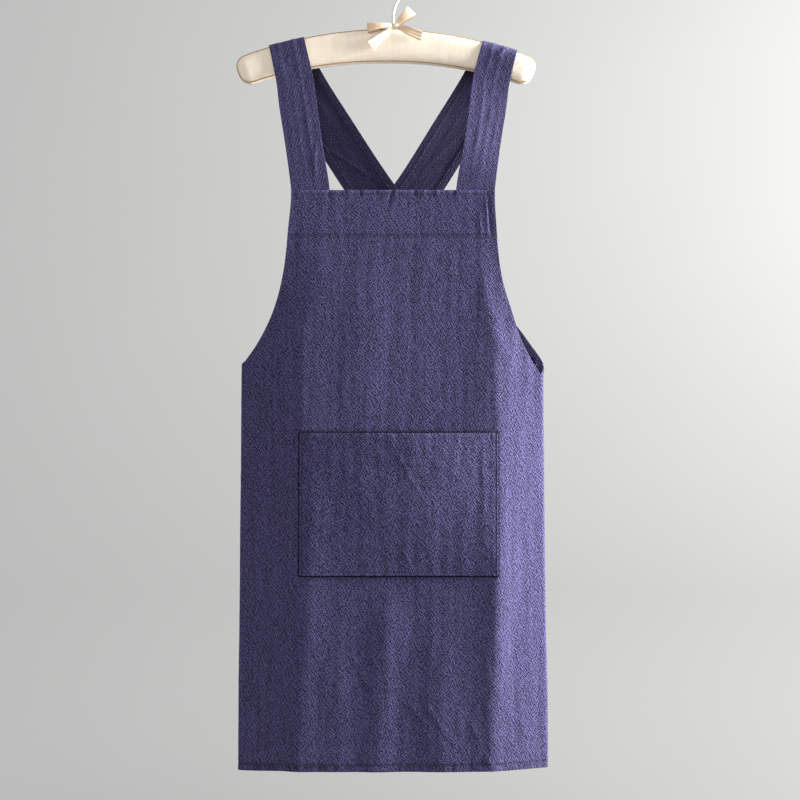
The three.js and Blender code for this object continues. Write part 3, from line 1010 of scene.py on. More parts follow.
@dataclass(frozen=True)
class ApronCut:
    """The apron's main sizes, and the surface that its front and its flaps hang in."""

    bib_half: float = 0.1296
    bib_depth: float = -0.018
    skirt_depth: float = -0.037
    settled: float = 0.430
    skirt_setback: float = 0.030
    crease_round: float = 0.10
    hem_sag: float = 0.0013
    top_stitch: float = 0.005  # the row of stitches along the bib's top edge
    band: float = 0.058  # the row of stitches at the foot of the bib's facing
    turn_start: float = 0.14  # where the bib starts to turn back as the skirt does
    armhole_curve: float = 2.8
    swell_drop: float = 0.156
    swell_reach: float = 0.034
    fold: float = 0.005
    flap: float = 0.118
    flap_sway: float = 0.007
    streaks: Ruffle = Ruffle(0.0004, 0.011, 0.110, 1.3)
    grazed: float = 2.25  # how much higher the streaks are on the right, where light grazes the cloth
    swells: Ruffle = Ruffle(0.0006, 0.050, 0.080, 4.7)
    crush: Ruffle = Ruffle(0.0003, 0.010, 0.012, 8.1)
    flap_waves: Ruffle = Ruffle(0.0030, 0.035, 0.35, 3.1)
    flap_streaks: Ruffle = Ruffle(0.0008, 0.014, 0.10, 5.2)
    flap_crush: Ruffle = Ruffle(0.0004, 0.010, 0.012, 9.4)
    crests: tuple[Crest, ...] = (
        Crest(-0.0950, -0.119, 0.330, LENGTH, 0.018, 0.0026),
        Crest(0.139, 0.124, 0.350, 0.730, 0.015, 0.0032, 0.16),
        Crest(-0.002, -0.022, 0.470, LENGTH, 0.020, 0.0040),
        Crest(0.052, 0.062, 0.520, LENGTH, 0.026, 0.0030),
        Crest(-0.070, -0.072, 0.540, LENGTH, 0.022, 0.0025),
        Crest(0.118, 0.126, 0.060, 0.320, 0.014, 0.0012),
        Crest(-0.030, -0.044, 0.070, 0.330, 0.030, 0.0020),
    )
    creases: tuple[Crease, ...] = (
        Crease(0.009, 0.640, 0.043, 0.672),
        Crease(0.042, 0.650, 0.061, 0.679),
        Crease(0.060, 0.678, 0.081, 0.701),
        Crease(0.092, 0.663, 0.110, 0.696),
        Crease(0.111, 0.713, 0.129, 0.731),
        Crease(0.139, 0.653, 0.180, 0.700),
        Crease(-0.054, 0.586, -0.030, 0.628),
        Crease(0.1180, 0.006, 0.1212, 0.058, 0.0017, 0.0007),
        Crease(0.1205, 0.006, 0.1242, 0.058, 0.0017, -0.0009),
        Crease(0.110, 0.030, 0.112, 0.058, 0.0024, 0.0006),
        Crease(0.0010, -0.004, -0.0060, 0.022, 0.0018, -0.0011),
        Crease(0.0277, -0.004, 0.0280, 0.009, 0.0018, -0.0010),
        Crease(-0.0407, -0.004, -0.0410, 0.008, 0.0018, -0.0009),
        Crease(0.0557, -0.004, 0.0560, 0.008, 0.0018, 0.0008),
        Crease(0.0769, -0.004, 0.0760, 0.010, 0.0018, -0.0009),
        Crease(0.0400, -0.004, 0.0395, 0.008, 0.0018, 0.0007),
        Crease(-0.0800, -0.004, -0.0810, 0.010, 0.0018, -0.0008),
        Crease(-0.0660, -0.004, -0.0650, 0.009, 0.0018, -0.0007),
        Crease(-0.0200, -0.004, -0.0200, 0.010, 0.0018, -0.0007),
    )

    def section(self, side: Side, drop: float) -> Section:
        """Works out the widths and depths at one drop.

        Args:
            side: The side of the apron.
            drop: The drop below the bib's top edge.

        Returns:
            The section there.
        """
        down = clamp((drop - side.armhole) / (LENGTH - side.armhole))
        half = lerp(side.waist, side.hem, down) - side.drawn_in * (1 - smoothstep(down, 0.55, 0.85))
        skirt_crease = lerp(side.crease_top, side.crease_hem, down)
        settled = smoothstep(drop, 0.0, self.settled)
        turned = lerp(side.bib_turn, 1.0, smoothstep(drop, self.turn_start, side.armhole))
        setback = self.skirt_setback * settled * turned
        turn = math.atan(setback / (half - skirt_crease))
        fold_start = half - self.fold * (1 - math.sin(turn))
        armhole = min(drop / side.armhole, 1.0) ** self.armhole_curve
        flare = side.flare * smoothstep(drop, self.top_stitch, self.band)
        flare *= 1 - smoothstep(drop, 0.07, 0.20)
        swell = side.swell * bell(drop - self.swell_drop, self.swell_reach)
        edge = lerp(self.bib_half, fold_start, armhole) + flare + swell
        crease = min(skirt_crease, side.bib_crease * edge)
        middle = lerp(self.bib_depth, self.skirt_depth, settled)
        return Section(half, turn, edge, crease, setback, middle)

    def front(self, x: float, drop: float) -> float:
        """Depth of the middle of the front's cloth, without its fine creases.

        Args:
            x: Place across.
            drop: Place down.

        Returns:
            The depth along Y.
        """
        section = self.section(LEFT if x < 0 else RIGHT, drop)
        past = (abs(x) - section.crease) / (section.edge - section.crease)
        bend = (past + math.hypot(past, self.crease_round)) / 2
        lift = sum(crest.lift(x, drop) for crest in self.crests)
        return section.middle + section.setback * bend - lift

    def height(self, x: float, drop: float) -> float:
        """Height of the cloth, which its own weight draws down a little at the hem.

        Args:
            x: Place across.
            drop: Place down.

        Returns:
            The height along Z.
        """
        side = LEFT if x < 0 else RIGHT
        sag = lerp(self.hem_sag, side.sag, smoothstep(abs(x), side.crease_hem, side.hem))
        return BIB_TOP - drop - sag * smoothstep(drop, 0.5, LENGTH)

    def flap_height(self, side: Side, x: float, drop: float) -> float:
        """Height of a flap, whose top edge the armhole's curve draws down."""
        fade = 1 - smoothstep(drop, side.armhole, side.armhole + 0.04)
        return self.height(x, drop) - side.notch * fade

    def fold_depth(self, side: Side, drop: float) -> float:
        """Depth of the middle of a side fold."""
        section = self.section(side, drop)
        return self.front(side.sign * section.edge, drop) + self.fold * math.cos(section.turn)

    def flap_depth(self, side: Side, distance: float, drop: float) -> float:
        """Depth of a flap at a distance from its side fold."""
        sway = self.flap_sway * (distance / self.flap) ** 2 * smoothstep(drop, self.settled / 2, LENGTH)
        return self.fold_depth(side, drop) + self.fold + sway

    def front_spot(self, x: float, drop: float) -> Vector:
        """A place in the middle of the front's cloth."""
        return Vector((x, self.front(x, drop), self.height(x, drop)))

    def flap_spot(self, side: Side, distance: float, drop: float) -> Vector:
        """A place in the middle of a flap's cloth, at a distance from its side fold."""
        x = side.sign * (self.section(side, drop).half - self.fold - distance)
        return Vector((x, self.flap_depth(side, distance, drop), self.flap_height(side, x, drop)))

    def front_relief(self, x: float, drop: float) -> float:
        """How far the front's fine creases stand out.

        Args:
            x: Place across.
            drop: Place down.

        Returns:
            The relief along the cloth's normal.
        """
        streaks = lerp(1.0, self.grazed, smoothstep(x, 0.11, 0.15)) * self.streaks.lift(x, drop)
        soft = streaks + self.swells.lift(x, drop) + self.crush.lift(x, drop)
        loose = lerp(0.45, 1.0, smoothstep(drop, self.band, self.band + 0.03))
        creases = sum(crease.lift(x, drop) for crease in self.creases)
        return soft * loose + creases + self.pucker(x, drop)

    def pucker(self, x: float, drop: float) -> float:
        """Small ruffles beside the rows of stitches that run across.

        Args:
            x: Place across.
            drop: Place down.

        Returns:
            The relief along the cloth's normal.
        """
        ruffle = 0.0
        rows = ((self.top_stitch, 0.0005), (self.band, 0.0004), (LENGTH - STITCH_IN, 0.0007))
        for row, depth in rows:
            away = abs(drop - row)
            if away < 0.03:
                ruffle += depth * ripple(x / 0.0065, drop / 0.05, 20 * row) * math.exp(-away / 0.007)
        return ruffle

    def flap_relief(self, side: Side, distance: float, drop: float) -> float:
        """How far a flap's soft folds stand out.

        Args:
            side: The side of the apron.
            distance: Distance from the side fold.
            drop: Place down.

        Returns:
            The relief along the cloth's normal.
        """
        place = (distance, drop, side.sign)
        below = drop - side.armhole
        free = smoothstep(below, 0.02, 0.10) * smoothstep(distance, 0.0, 0.03)
        folds = (self.flap_waves.lift(*place) + self.flap_streaks.lift(*place)) * free
        return folds + self.flap_crush.lift(*place) * smoothstep(below, 0.0, 0.03)


class Zone(Enum):
    """Stretches of the apron's cloth, from the middle of the front to a flap's back edge."""

    FRONT = auto()
    SIDE = auto()
    ARMHOLE_HEM = auto()
    FOLD = auto()
    FLAP = auto()
    FLAP_HEM = auto()


@dataclass(frozen=True)
class Stop:
    """One column of the cloth: its zone, and a share of it or, in a hem, the distance from the edge."""

    zone: Zone
    share: float


@dataclass
class ApronBody:
    """Bib, skirt and back flaps in one piece of cloth."""

    cut: ApronCut
    pocket: "FrontPocket"
    front_steps: int = 68
    side_steps: int = 14
    fold_steps: int = 6
    flap_steps: int = 18
    hem_seam: float = 0.9  # how dark this row of stitches is, and the next ones
    top_seam: float = 0.5
    band_seam: float = 0.85
    armhole_seam: float = 0.12
    flap_seam: float = 0.6
    seam_reach: float = 0.0014
    gathers: tuple[float, ...] = (-0.0592, -0.0407, -0.0206, 0.0013, 0.0293, 0.0795)
    stops: list[Stop] = field(default_factory=list)
    drops: list[float] = field(default_factory=list)
    runs: dict[int, list[float]] = field(default_factory=dict)

    def __post_init__(self) -> None:
        """Sets out the columns and the rows."""

        def even(zone: Zone, steps: int) -> list[Stop]:
            """Stops at even shares of a zone, without its start."""
            return [Stop(zone, step / steps) for step in range(1, steps + 1)]

        self.stops = [Stop(Zone.FRONT, 0.0)]
        self.stops += even(Zone.FRONT, self.front_steps) + even(Zone.SIDE, self.side_steps)
        self.stops += [Stop(Zone.ARMHOLE_HEM, away) for away in HEM_ROWS[1:]]
        self.stops += even(Zone.FOLD, self.fold_steps) + even(Zone.FLAP, self.flap_steps)
        self.stops += [Stop(Zone.FLAP_HEM, away) for away in HEM_ROWS[1:]]
        stitch, band, mouth = self.cut.top_stitch, self.cut.band, self.pocket.top
        beside = 0.0008  # the next row of points from a row of stitches
        marks = [
            (HEM_ROWS[-2], 1),
            (stitch - beside, 2),
            (stitch, 1),
            (stitch + beside, 1),
            (band - beside, 16),
            (band, 1),
            (band + beside, 1),
            (LEFT.armhole, 38),
            (RIGHT.armhole, 4),
            (RIGHT.armhole + STITCH_IN, 3),
            (mouth - 0.0030, 14),
            (mouth - 0.0014, 1),
            (mouth, 1),
            (mouth + 0.0030, 1),
            (LENGTH - HEM_ROWS[0], 92),
        ]
        self.drops = ruler(0.0, marks) + [LENGTH - away for away in HEM_ROWS[1:]]

    @property
    def reach(self) -> int:
        """Number of columns on each side of the middle."""
        return len(self.stops) - 1

    def place(self, stop: int, drop: float) -> Vector:
        """Finds a point in the middle of the cloth.

        Args:
            stop: Columns from the middle, negative to the left.
            drop: Place down.

        Returns:
            The place.
        """
        cut = self.cut
        side = LEFT if stop < 0 else RIGHT
        zone, share = self.stops[abs(stop)].zone, self.stops[abs(stop)].share
        section = cut.section(side, drop)
        if zone is Zone.FOLD:
            angle = lerp(section.turn - math.pi / 2, math.pi / 2, share)
            x = side.sign * (section.half - cut.fold * (1 - math.cos(angle)))
            height = lerp(cut.height(x, drop), cut.flap_height(side, x, drop), smoothstep(share, 0.0, 0.5))
            return Vector((x, cut.fold_depth(side, drop) + cut.fold * math.sin(angle), height))
        if zone in (Zone.FLAP, Zone.FLAP_HEM):
            return cut.flap_spot(side, self.flap_distance(stop), drop)
        if zone is Zone.FRONT:
            out = share * section.crease
        elif zone is Zone.SIDE:
            out = lerp(section.crease, section.edge - HEM_ROWS[0], share)
        else:
            out = section.edge - share
        return cut.front_spot(side.sign * out, drop)

    def flap_distance(self, stop: int) -> float:
        """Distance of a flap's column from the side fold."""
        column, flap = self.stops[abs(stop)], self.cut.flap
        return column.share * (flap - HEM_ROWS[0]) if column.zone is Zone.FLAP else flap - column.share

    def is_cloth(self, column: int, row: int) -> bool:
        """Whether a cell is cloth, and not cut away beside the bib.

        Args:
            column: The cell's left column.
            row: The cell's top row.

        Returns:
            True for cloth.
        """
        outer = max(abs(column - self.reach), abs(column + 1 - self.reach))
        side = LEFT if column < self.reach else RIGHT
        on_front = self.stops[outer].zone in (Zone.FRONT, Zone.SIDE, Zone.ARMHOLE_HEM)
        return on_front or self.drops[row] >= side.armhole - 1e-6

    def layers(self, stop: Stop, side: Side, drop: float) -> float:
        """Thickness as a share of a hemmed edge.

        Args:
            stop: The column.
            side: The side of the apron.
            drop: Place down.

        Returns:
            1 in a hem and 0.5 in single cloth.
        """
        at_armhole = stop.zone is Zone.ARMHOLE_HEM and stop.share < HEM_WIDTH and drop <= side.armhole
        at_flap_edge = stop.zone is Zone.FLAP_HEM and stop.share < HEM_WIDTH
        is_behind = stop.zone in (Zone.FOLD, Zone.FLAP, Zone.FLAP_HEM)
        at_flap_top = is_behind and drop < side.armhole + HEM_WIDTH
        at_bottom = drop > LENGTH - HEM_WIDTH
        return 1.0 if at_armhole or at_flap_edge or at_flap_top or at_bottom else CLOTH / HEMMED

    def seam(self, stop: Stop, side: Side, drop: float) -> float:
        """Nearness to the rows of stitches.

        Args:
            stop: The column.
            side: The side of the apron.
            drop: Place down.

        Returns:
            1 on a row of stitches, less beside it.
        """
        rows = [(drop - (LENGTH - STITCH_IN), self.hem_seam)]
        if stop.zone in (Zone.FRONT, Zone.SIDE, Zone.ARMHOLE_HEM):
            rows.append((drop - self.cut.top_stitch, self.top_seam))
            rows.append((drop - self.cut.band, self.band_seam))
        else:
            rows.append((drop - side.armhole - STITCH_IN, self.flap_seam))
        if stop.zone is Zone.ARMHOLE_HEM and drop <= side.armhole:
            rows.append((stop.share - STITCH_IN, self.armhole_seam))
        if stop.zone is Zone.FLAP_HEM:
            rows.append((stop.share - STITCH_IN, self.flap_seam))
        return max(weight * bell(away, self.seam_reach) for away, weight in rows)

    def gather_shade(self, x: float, drop: float) -> float:
        """Painted shade of the small gathers along the bib's top edge, with a lighter rim there of painted
        highlight and some edge wear.

        Args:
            x: Place across.
            drop: Place down.

        Returns:
            0.8 in the middle of a gather at the edge, less beside and below it, and below 0 along the
            lighter rim.
        """
        gather = bell(min(abs(x - place) for place in self.gathers), 0.0014)
        wear_and_highlight = 1.1 * bell(drop - 0.0012, 0.0022) * (1 - gather)
        return 0.8 * gather * (1 - smoothstep(drop, 0.0035, 0.0085)) - wear_and_highlight

    def mouth_shade(self, x: float, drop: float) -> float:
        """Painted shade on the cloth behind the pocket's mouth, 1 right behind it and less above it."""
        is_behind = self.pocket.left < x < self.pocket.right
        return bell(drop - self.pocket.top + 0.0002, 0.0021) if is_behind else 0.0

    def hem_shade(self, x: float, drop: float) -> float:
        """Painted shade of the puckers along the bottom hem, and a little at its very edge."""
        puckers = smoothstep(ripple(x / 0.0062, 0.3, 7.7), -0.05, 0.35)
        return 0.6 * bell(LENGTH - drop - 0.0060, 0.0036) * puckers + 0.35 * bell(LENGTH - drop, 0.0012)

    def point(self, column: int, row: int) -> ClothPoint:
        """Works out one point of the cloth.

        Args:
            column: Its column from the left.
            row: Its row from the top.

        Returns:
            The point.
        """
        stop, drop = column - self.reach, self.drops[row]
        side = LEFT if stop < 0 else RIGHT
        spec = self.stops[abs(stop)]
        place = self.place(stop, drop)
        if spec.zone in (Zone.FLAP, Zone.FLAP_HEM):
            relief = self.cut.flap_relief(side, self.flap_distance(stop), drop)
        elif spec.zone is Zone.FOLD:
            relief = self.cut.front_relief(side.sign * self.cut.section(side, drop).edge, drop)
            relief *= 1 - spec.share
        else:
            relief = self.cut.front_relief(place.x, drop)
        seam = self.seam(spec, side, drop)
        relief += HALF_WALL - SUNK * seam
        # Painted shade in gaps, gathers and hem puckers; below 0, lighter rims of painted highlight with
        # some edge wear.
        shade = 0.0
        if spec.zone in (Zone.FRONT, Zone.SIDE):
            shade = self.mouth_shade(place.x, drop) + self.gather_shade(place.x, drop)
        # A lighter rim along the left armhole: painted highlight with some edge wear.
        elif spec.zone is Zone.ARMHOLE_HEM and side is LEFT and drop <= side.armhole:
            shade = -0.45 * bell(spec.share - 0.0014, 0.0014)
        shade += self.hem_shade(place.x, drop)
        flat = (self.run(row)[column], -drop)
        return ClothPoint(place, flat, relief, self.layers(spec, side, drop), seam, shade)

    def run(self, row: int) -> list[float]:
        """Distances along one row of the cloth.

        Args:
            row: The row from the top.

        Returns:
            For each column, its distance from the middle, negative to the left.
        """
        if row not in self.runs:
            drop = self.drops[row]
            places = [self.place(column - self.reach, drop) for column in range(2 * self.reach + 1)]
            steps = [(ahead - here).length for here, ahead in zip(places, places[1:])]
            left = sum(steps[: self.reach])
            distances = [-left]
            for step in steps:
                distances.append(distances[-1] + step)
            self.runs[row] = distances
        return self.runs[row]

    def build(self) -> bpy.types.Object:
        """Makes the cloth."""
        rows = len(self.drops) - 1
        return cloth_object("apron_body_cloth", 2 * self.reach, rows, self.point, self.is_cloth)

    def flat_size(self) -> tuple[float, float, float]:
        """Width, length and area of the flat cut.

        Returns:
            The three sizes, with the turned hems left out.
        """
        bottom = self.run(len(self.drops) - 1)
        area = 0.0
        for row, (drop, below) in enumerate(zip(self.drops, self.drops[1:])):
            distances = self.run(row)
            kept = [column for column in range(2 * self.reach) if self.is_cloth(column, row)]
            area += sum(distances[column + 1] - distances[column] for column in kept) * (below - drop)
        return bottom[-1] - bottom[0], LENGTH, area

    def sew(self, cloth: bpy.types.Object, thread: bpy.types.Material) -> bpy.types.Object:
        """Sews the bib's band, the hems and the armholes.

        Args:
            cloth: The finished cloth.
            thread: The thread's material.

        Returns:
            The stitches.
        """
        cut = self.cut
        rows = StitchRows("apron_stitches", surface_of(cloth))
        short = 0.002  # how far a row stops short of an edge
        for drop, inset in ((cut.top_stitch, short), (cut.band, short / 2), (LENGTH - STITCH_IN, 0.0)):
            left, right = (side.sign * (cut.section(side, drop).edge - inset) for side in (LEFT, RIGHT))
            path = [cut.front_spot(x, drop) for x in ruler(left, [(right, 90)])]
            rows.sew(path, [FORWARD] * len(path))
        for side in (LEFT, RIGHT):
            path = []
            for drop in ruler(short, [(side.armhole - short, 70)]):
                x = side.sign * (cut.section(side, drop).edge - STITCH_IN)
                path.append(cut.front_spot(x, drop))
            rows.sew(path, [FORWARD] * len(path))
            drops = ruler(side.armhole + short, [(LENGTH - short, 120)])
            path = [cut.flap_spot(side, cut.flap - STITCH_IN, drop) for drop in drops]
            rows.sew(path, [BACKWARD] * len(path))
            distances = ruler(0.0, [(cut.flap - short, 40)])
            for drop in (side.armhole + STITCH_IN, LENGTH - STITCH_IN):
                path = [cut.flap_spot(side, distance, drop) for distance in distances]
                rows.sew(path, [BACKWARD] * len(path))
        return rows.finish(thread)


@dataclass
class BibFacing:
    """The band that is turned in behind the bib's top edge."""

    cut: ApronCut
    columns: int = 96
    rows: int = 24
    inset: float = 0.0012
    behind_top: float = 0.0033
    behind_foot: float = 0.0024
    behind_roll: float = 0.0008
    below_band: float = 0.002
    roll: float = 0.0030  # how far down its top edge rolls over from the front
    strap_edge: float = 0.078  # half width of the stretch between the straps
    ruffle: Ruffle = Ruffle(0.0003, 0.012, 0.02, 6.6)

    def point(self, column: int, row: int) -> ClothPoint:
        """Works out one point, with column 0 on the right because its outer side is the back.

        Args:
            column: Its column.
            row: Its row from the top.

        Returns:
            The point.
        """
        half = self.cut.bib_half - self.inset
        x = lerp(half, -half, column / self.columns)
        drop = lerp(self.inset, self.cut.band + self.below_band, row / self.rows)
        behind = lerp(self.behind_top, self.behind_foot, smoothstep(drop, 0.018, self.cut.band))
        between = 1 - smoothstep(abs(x), self.strap_edge - 0.003, self.strap_edge)
        rolled = between * (1 - smoothstep(drop, self.inset, self.inset + self.roll))
        behind = lerp(behind, self.behind_roll, rolled)
        place = Vector((x, self.cut.front(x, drop) + behind, BIB_TOP - drop))
        return ClothPoint(place, (-x, -drop), self.ruffle.lift(x, drop) + HALF_WALL / 2)

    def build(self) -> bpy.types.Object:
        """Makes the band."""
        return cloth_object("bib_facing_cloth", self.columns, self.rows, self.point)


@dataclass
class FrontPocket:
    """The wide patch pocket, which gapes a little at its mouth."""

    cut: ApronCut
    left: float = -0.1195
    right: float = 0.1342
    top: float = 0.3085
    bottom: float = 0.490
    wall: float = 0.0016
    pouch: float = 0.010
    stitch_in: float = 0.0042
    turned_in: float = 0.0074  # width of the cloth that is turned in along its sewn edges
    shaded_rim_width: float = 0.0014  # width of its sewn rim, which takes a dark material of painted shade
    tack: float = 0.011  # where the corner tacks sit in from the sides
    stand: float = 0.0019  # its outer side from the front's, at the sewn edges
    ruffles: tuple[Ruffle, ...] = (
        Ruffle(0.0003, 0.013, 0.100, 11.3),
        Ruffle(0.0007, 0.045, 0.050, 12.9),
        Ruffle(0.0003, 0.010, 0.012, 14.2),
    )
    creases: tuple[Crease, ...] = (
        Crease(-0.0075, 0.3080, 0.0215, 0.3655, 0.0013, 0.0005),
        Crease(-0.0030, 0.3080, 0.0080, 0.3300, 0.0013, 0.0004),
        Crease(0.0205, 0.3640, 0.0420, 0.3980, 0.0013, 0.0004),
        Crease(0.0090, 0.3860, 0.0230, 0.4040, 0.0013, 0.0003),
        Crease(0.0127, 0.4550, 0.0253, 0.4840, 0.0014, 0.0004),
        Crease(0.1130, 0.3150, 0.1150, 0.4200, 0.0035, 0.0006),
        Crease(0.0800, 0.3070, 0.0830, 0.3240, 0.0014, 0.0004),
        Crease(-0.1000, 0.3070, -0.0930, 0.3190, 0.0014, 0.0005),
    )
    xs: list[float] = field(default_factory=list)
    drops: list[float] = field(default_factory=list)

    def __post_init__(self) -> None:
        """Sets out the columns and the rows, closer at the stitches."""
        edge = (0.0, 0.0007, self.shaded_rim_width, 0.0025, self.stitch_in, 0.0051, self.turned_in)
        self.xs = [self.left + away for away in edge[:-1]]
        self.xs += ruler(self.left + self.turned_in, [(self.right - self.turned_in, 190)])
        self.xs += [self.right - away for away in edge[-2::-1]]
        hem = [self.top + away for away in HEM_ROWS[::-1]]
        self.drops = hem[:-1] + ruler(hem[-1], [(self.bottom - self.turned_in, 140)])
        self.drops += [self.bottom - away for away in edge[-2::-1]]

    def inside(self, x: float, drop: float) -> float:
        """Distance from the nearest sewn edge."""
        return min(x - self.left, self.right - x, self.bottom - drop)

    def point(self, column: int, row: int) -> ClothPoint:
        """Works out one point of the pocket's outer side.

        Args:
            column: Its column from the left.
            row: Its row from the top.

        Returns:
            The point.
        """
        x, drop = self.xs[column], self.drops[row]
        across = (x - self.left) / (self.right - self.left)
        down = (drop - self.top) / (self.bottom - self.top)
        gape = self.pouch * math.sin(math.pi * across) * (1 - down * down)
        from_side = min(x - self.left, self.right - x)
        inside = self.inside(x, drop)
        free = smoothstep(inside, 0.002, 0.02)
        relief = sum(part.lift(x, drop) for part in (*self.ruffles, *self.creases))
        fine = max(relief * free, -0.0004)
        at_hem = 1 - smoothstep(drop - self.top, STITCH_IN, STITCH_IN + 0.002)
        # The term at the sewn edges darkens the rim with the seam colour as painted shade, and sets it back
        # a little.
        seam = max(
            bell(from_side - self.stitch_in, 0.0009),
            0.2 * bell(self.bottom - self.stitch_in - drop, 0.0008),
            0.3 * bell(drop - self.top - STITCH_IN, 0.0008),
            bell(inside, 0.0015),
            bell(from_side - self.tack, 0.0012) * at_hem,
        )
        ridge = 0.0004 * bell(inside - 0.0024, 0.0009)
        carried = self.cut.front(x, drop) - HALF_WALL - self.cut.front_relief(x, drop)
        depth = carried - self.stand - gape - fine - ridge + 0.0005 * seam
        is_double = drop - self.top < HEM_WIDTH or inside < self.turned_in
        layers = 1.0 if is_double else CLOTH / HEMMED
        # Lighter lines below the mouth and on the ridge beside the sewn edges: painted highlight with some
        # edge wear; the dark rim at the sewn edges is painted shade.
        wear_and_highlight = max(0.55 * bell(drop - self.top - 0.0022, 0.0014), 0.60 * bell(inside - 0.0025, 0.0009))
        shade = 0.9 * bell(inside, 0.0012) - wear_and_highlight
        place = Vector((x, depth, BIB_TOP - drop))
        return ClothPoint(place, (x + 0.9, -drop), 0.0, layers, seam, shade)

    def build(self) -> bpy.types.Object:
        """Makes the pocket, with its sewn rim in a second, dark material of painted shade."""
        columns, rows = len(self.xs) - 1, len(self.drops) - 1
        cloth = cloth_object("front_pocket_cloth", columns, rows, self.point, wall=self.wall)
        for face in cloth.data.polygons:
            if self.inside(face.center.x, BIB_TOP - face.center.z) < self.shaded_rim_width:
                face.material_index = 1
        return cloth

    def sew(self, cloth: bpy.types.Object, thread: bpy.types.Material) -> bpy.types.Object:
        """Sews the mouth's hem, the sides, the bottom and a tack at each upper corner.

        Args:
            cloth: The finished cloth.
            thread: The thread's material.

        Returns:
            The stitches.
        """
        rows = StitchRows("pocket_stitches", surface_of(cloth))
        steps = 60
        left, right, top = self.left, self.right, self.top
        inner_left, inner_right = left + self.stitch_in, right - self.stitch_in
        foot, hem = self.bottom - self.stitch_in, top + STITCH_IN
        lines = (
            [(left + 0.001, hem), (right - 0.001, hem)],
            [(inner_left, top), (inner_left, foot), (inner_right, foot), (inner_right, top)],
            [(left + self.tack, top), (left + self.tack, hem)],
            [(right - self.tack, top), (right - self.tack, hem)],
        )
        for line in lines:
            path = []
            for (x, drop), (x_end, drop_end) in zip(line, line[1:]):
                for step in range(steps):
                    here, down = lerp(x, x_end, step / steps), lerp(drop, drop_end, step / steps)
                    path.append(Vector((here, self.cut.front(here, down) - self.pouch, BIB_TOP - down)))
            rows.sew(path, [FORWARD] * len(path))
        return rows.finish(thread)


# Straps and ribbons


@dataclass
class Station:
    """A place that a strip of cloth passes."""

    place: Vector
    half: float  # half its width there
    tilt: float  # how far its width tilts, in degrees
    twist: float = 0.0  # how far its first edge comes forward, in degrees


@dataclass
class Strip:
    """A strip of cloth along a smooth line through its stations."""

    stations: list[Station]
    turn: int = 1  # -1 for a strip whose width is mirrored
    samples: int = 1500
    line: list[Vector] = field(default_factory=list)
    width: list[Vector] = field(default_factory=list)
    distance: list[float] = field(default_factory=list)

    def __post_init__(self) -> None:
        """Follows the line in small steps."""
        places = [station.place for station in self.stations]
        # Half widths in mm and angles in degrees are alike in size, which the curve through them needs
        spread = [Vector((station.half * 1000, station.tilt, station.twist)) for station in self.stations]
        for sample in range(self.samples + 1):
            share = sample / self.samples
            half, tilt, twist = bend_through(spread, share)
            angle, yaw = math.radians(tilt), math.radians(twist)
            level = Vector((self.turn * math.cos(angle), 0.0, math.sin(angle))) * math.cos(yaw)
            self.line.append(bend_through(places, share))
            self.width.append((level + Vector((0.0, math.sin(yaw), 0.0))) * half / 1000)
        self.distance = [0.0]
        for here, ahead in zip(self.line, self.line[1:]):
            self.distance.append(self.distance[-1] + (ahead - here).length)

    @property
    def length(self) -> float:
        """The strip's length along its middle."""
        return self.distance[-1]

    def at(self, distance: float) -> tuple[Vector, Vector]:
        """Finds the strip at a distance along it.

        Args:
            distance: Distance from its start.

        Returns:
            The place of its middle, and half its width as a vector.
        """
        low = min(max(bisect_right(self.distance, distance) - 1, 0), self.samples - 1)
        high = low + 1
        share = (distance - self.distance[low]) / (self.distance[high] - self.distance[low])
        return self.line[low].lerp(self.line[high], share), self.width[low].lerp(self.width[high], share)

    def outward(self, distance: float) -> Vector:
        """The direction that the strip's outer side faces.

        Args:
            distance: Distance from its start.

        Returns:
            A unit vector.
        """
        step = self.length / 400
        before, _ = self.at(max(distance - step, 0.0))
        after, _ = self.at(min(distance + step, self.length))
        _, width = self.at(distance)
        return ((after - before).cross(width) * -self.turn).normalized()


@dataclass
class StrapRoute:
    """Sizes of a strap's way from the bib over the bar and across the back to the other side's flap."""

    tuck: float = 0.014
    top_out: float = 0.1315
    top_half: float = 0.0230
    bar_off: float = 0.0145
    cross_shift: float = 0.0014
    cross_apart: float = 0.0017
    layer: float = 0.0018
    over_steps: int = 6
    # Out, below the bar's top, half width, tilt, depth from the bar to the bib, twist of the right strap
    front: tuple[tuple[float, ...], ...] = (
        (0.1050, 0.2215, 0.0235, 0, 1.0, 0),
        (0.1050, 0.2075, 0.0245, 2, 1.0, 0),
        (0.1145, 0.1430, 0.0235, 8, 0.5, -9),
        (0.1210, 0.0980, 0.0240, 9, 0.15, -8),
        (0.1250, 0.0680, 0.0236, 12, 0.0, -3),
    )
    # Out, below the bar's top, half width, tilt, depth from the bar to the flap, nearness to the crossing
    back: tuple[tuple[float, ...], ...] = (
        (0.1225, 0.0480, 0.0250, 22, 0.0, 0.0),
        (0.1145, 0.0670, 0.0270, 31, 0.0, 0.0),
        (0.0723, 0.1380, 0.0285, 33, 0.20, 0.4),
        (0.0266, 0.2090, 0.0285, 34, 0.45, 1.0),
        (-0.0190, 0.2680, 0.0285, 37, 0.62, 1.0),
        (-0.0685, 0.3250, 0.0290, 38, 0.80, 0.5),
        (-0.1120, 0.3740, 0.0312, 35, 0.95, 0.0),
    )
    # Inset, rise above the flap's top edge, half width, tilt
    end: tuple[tuple[float, ...], ...] = (
        (0.0098, 0.018, 0.0310, 16),
        (0.0, -0.002, 0.0380, 0),
        (0.0, -0.016, 0.0375, 0),
    )


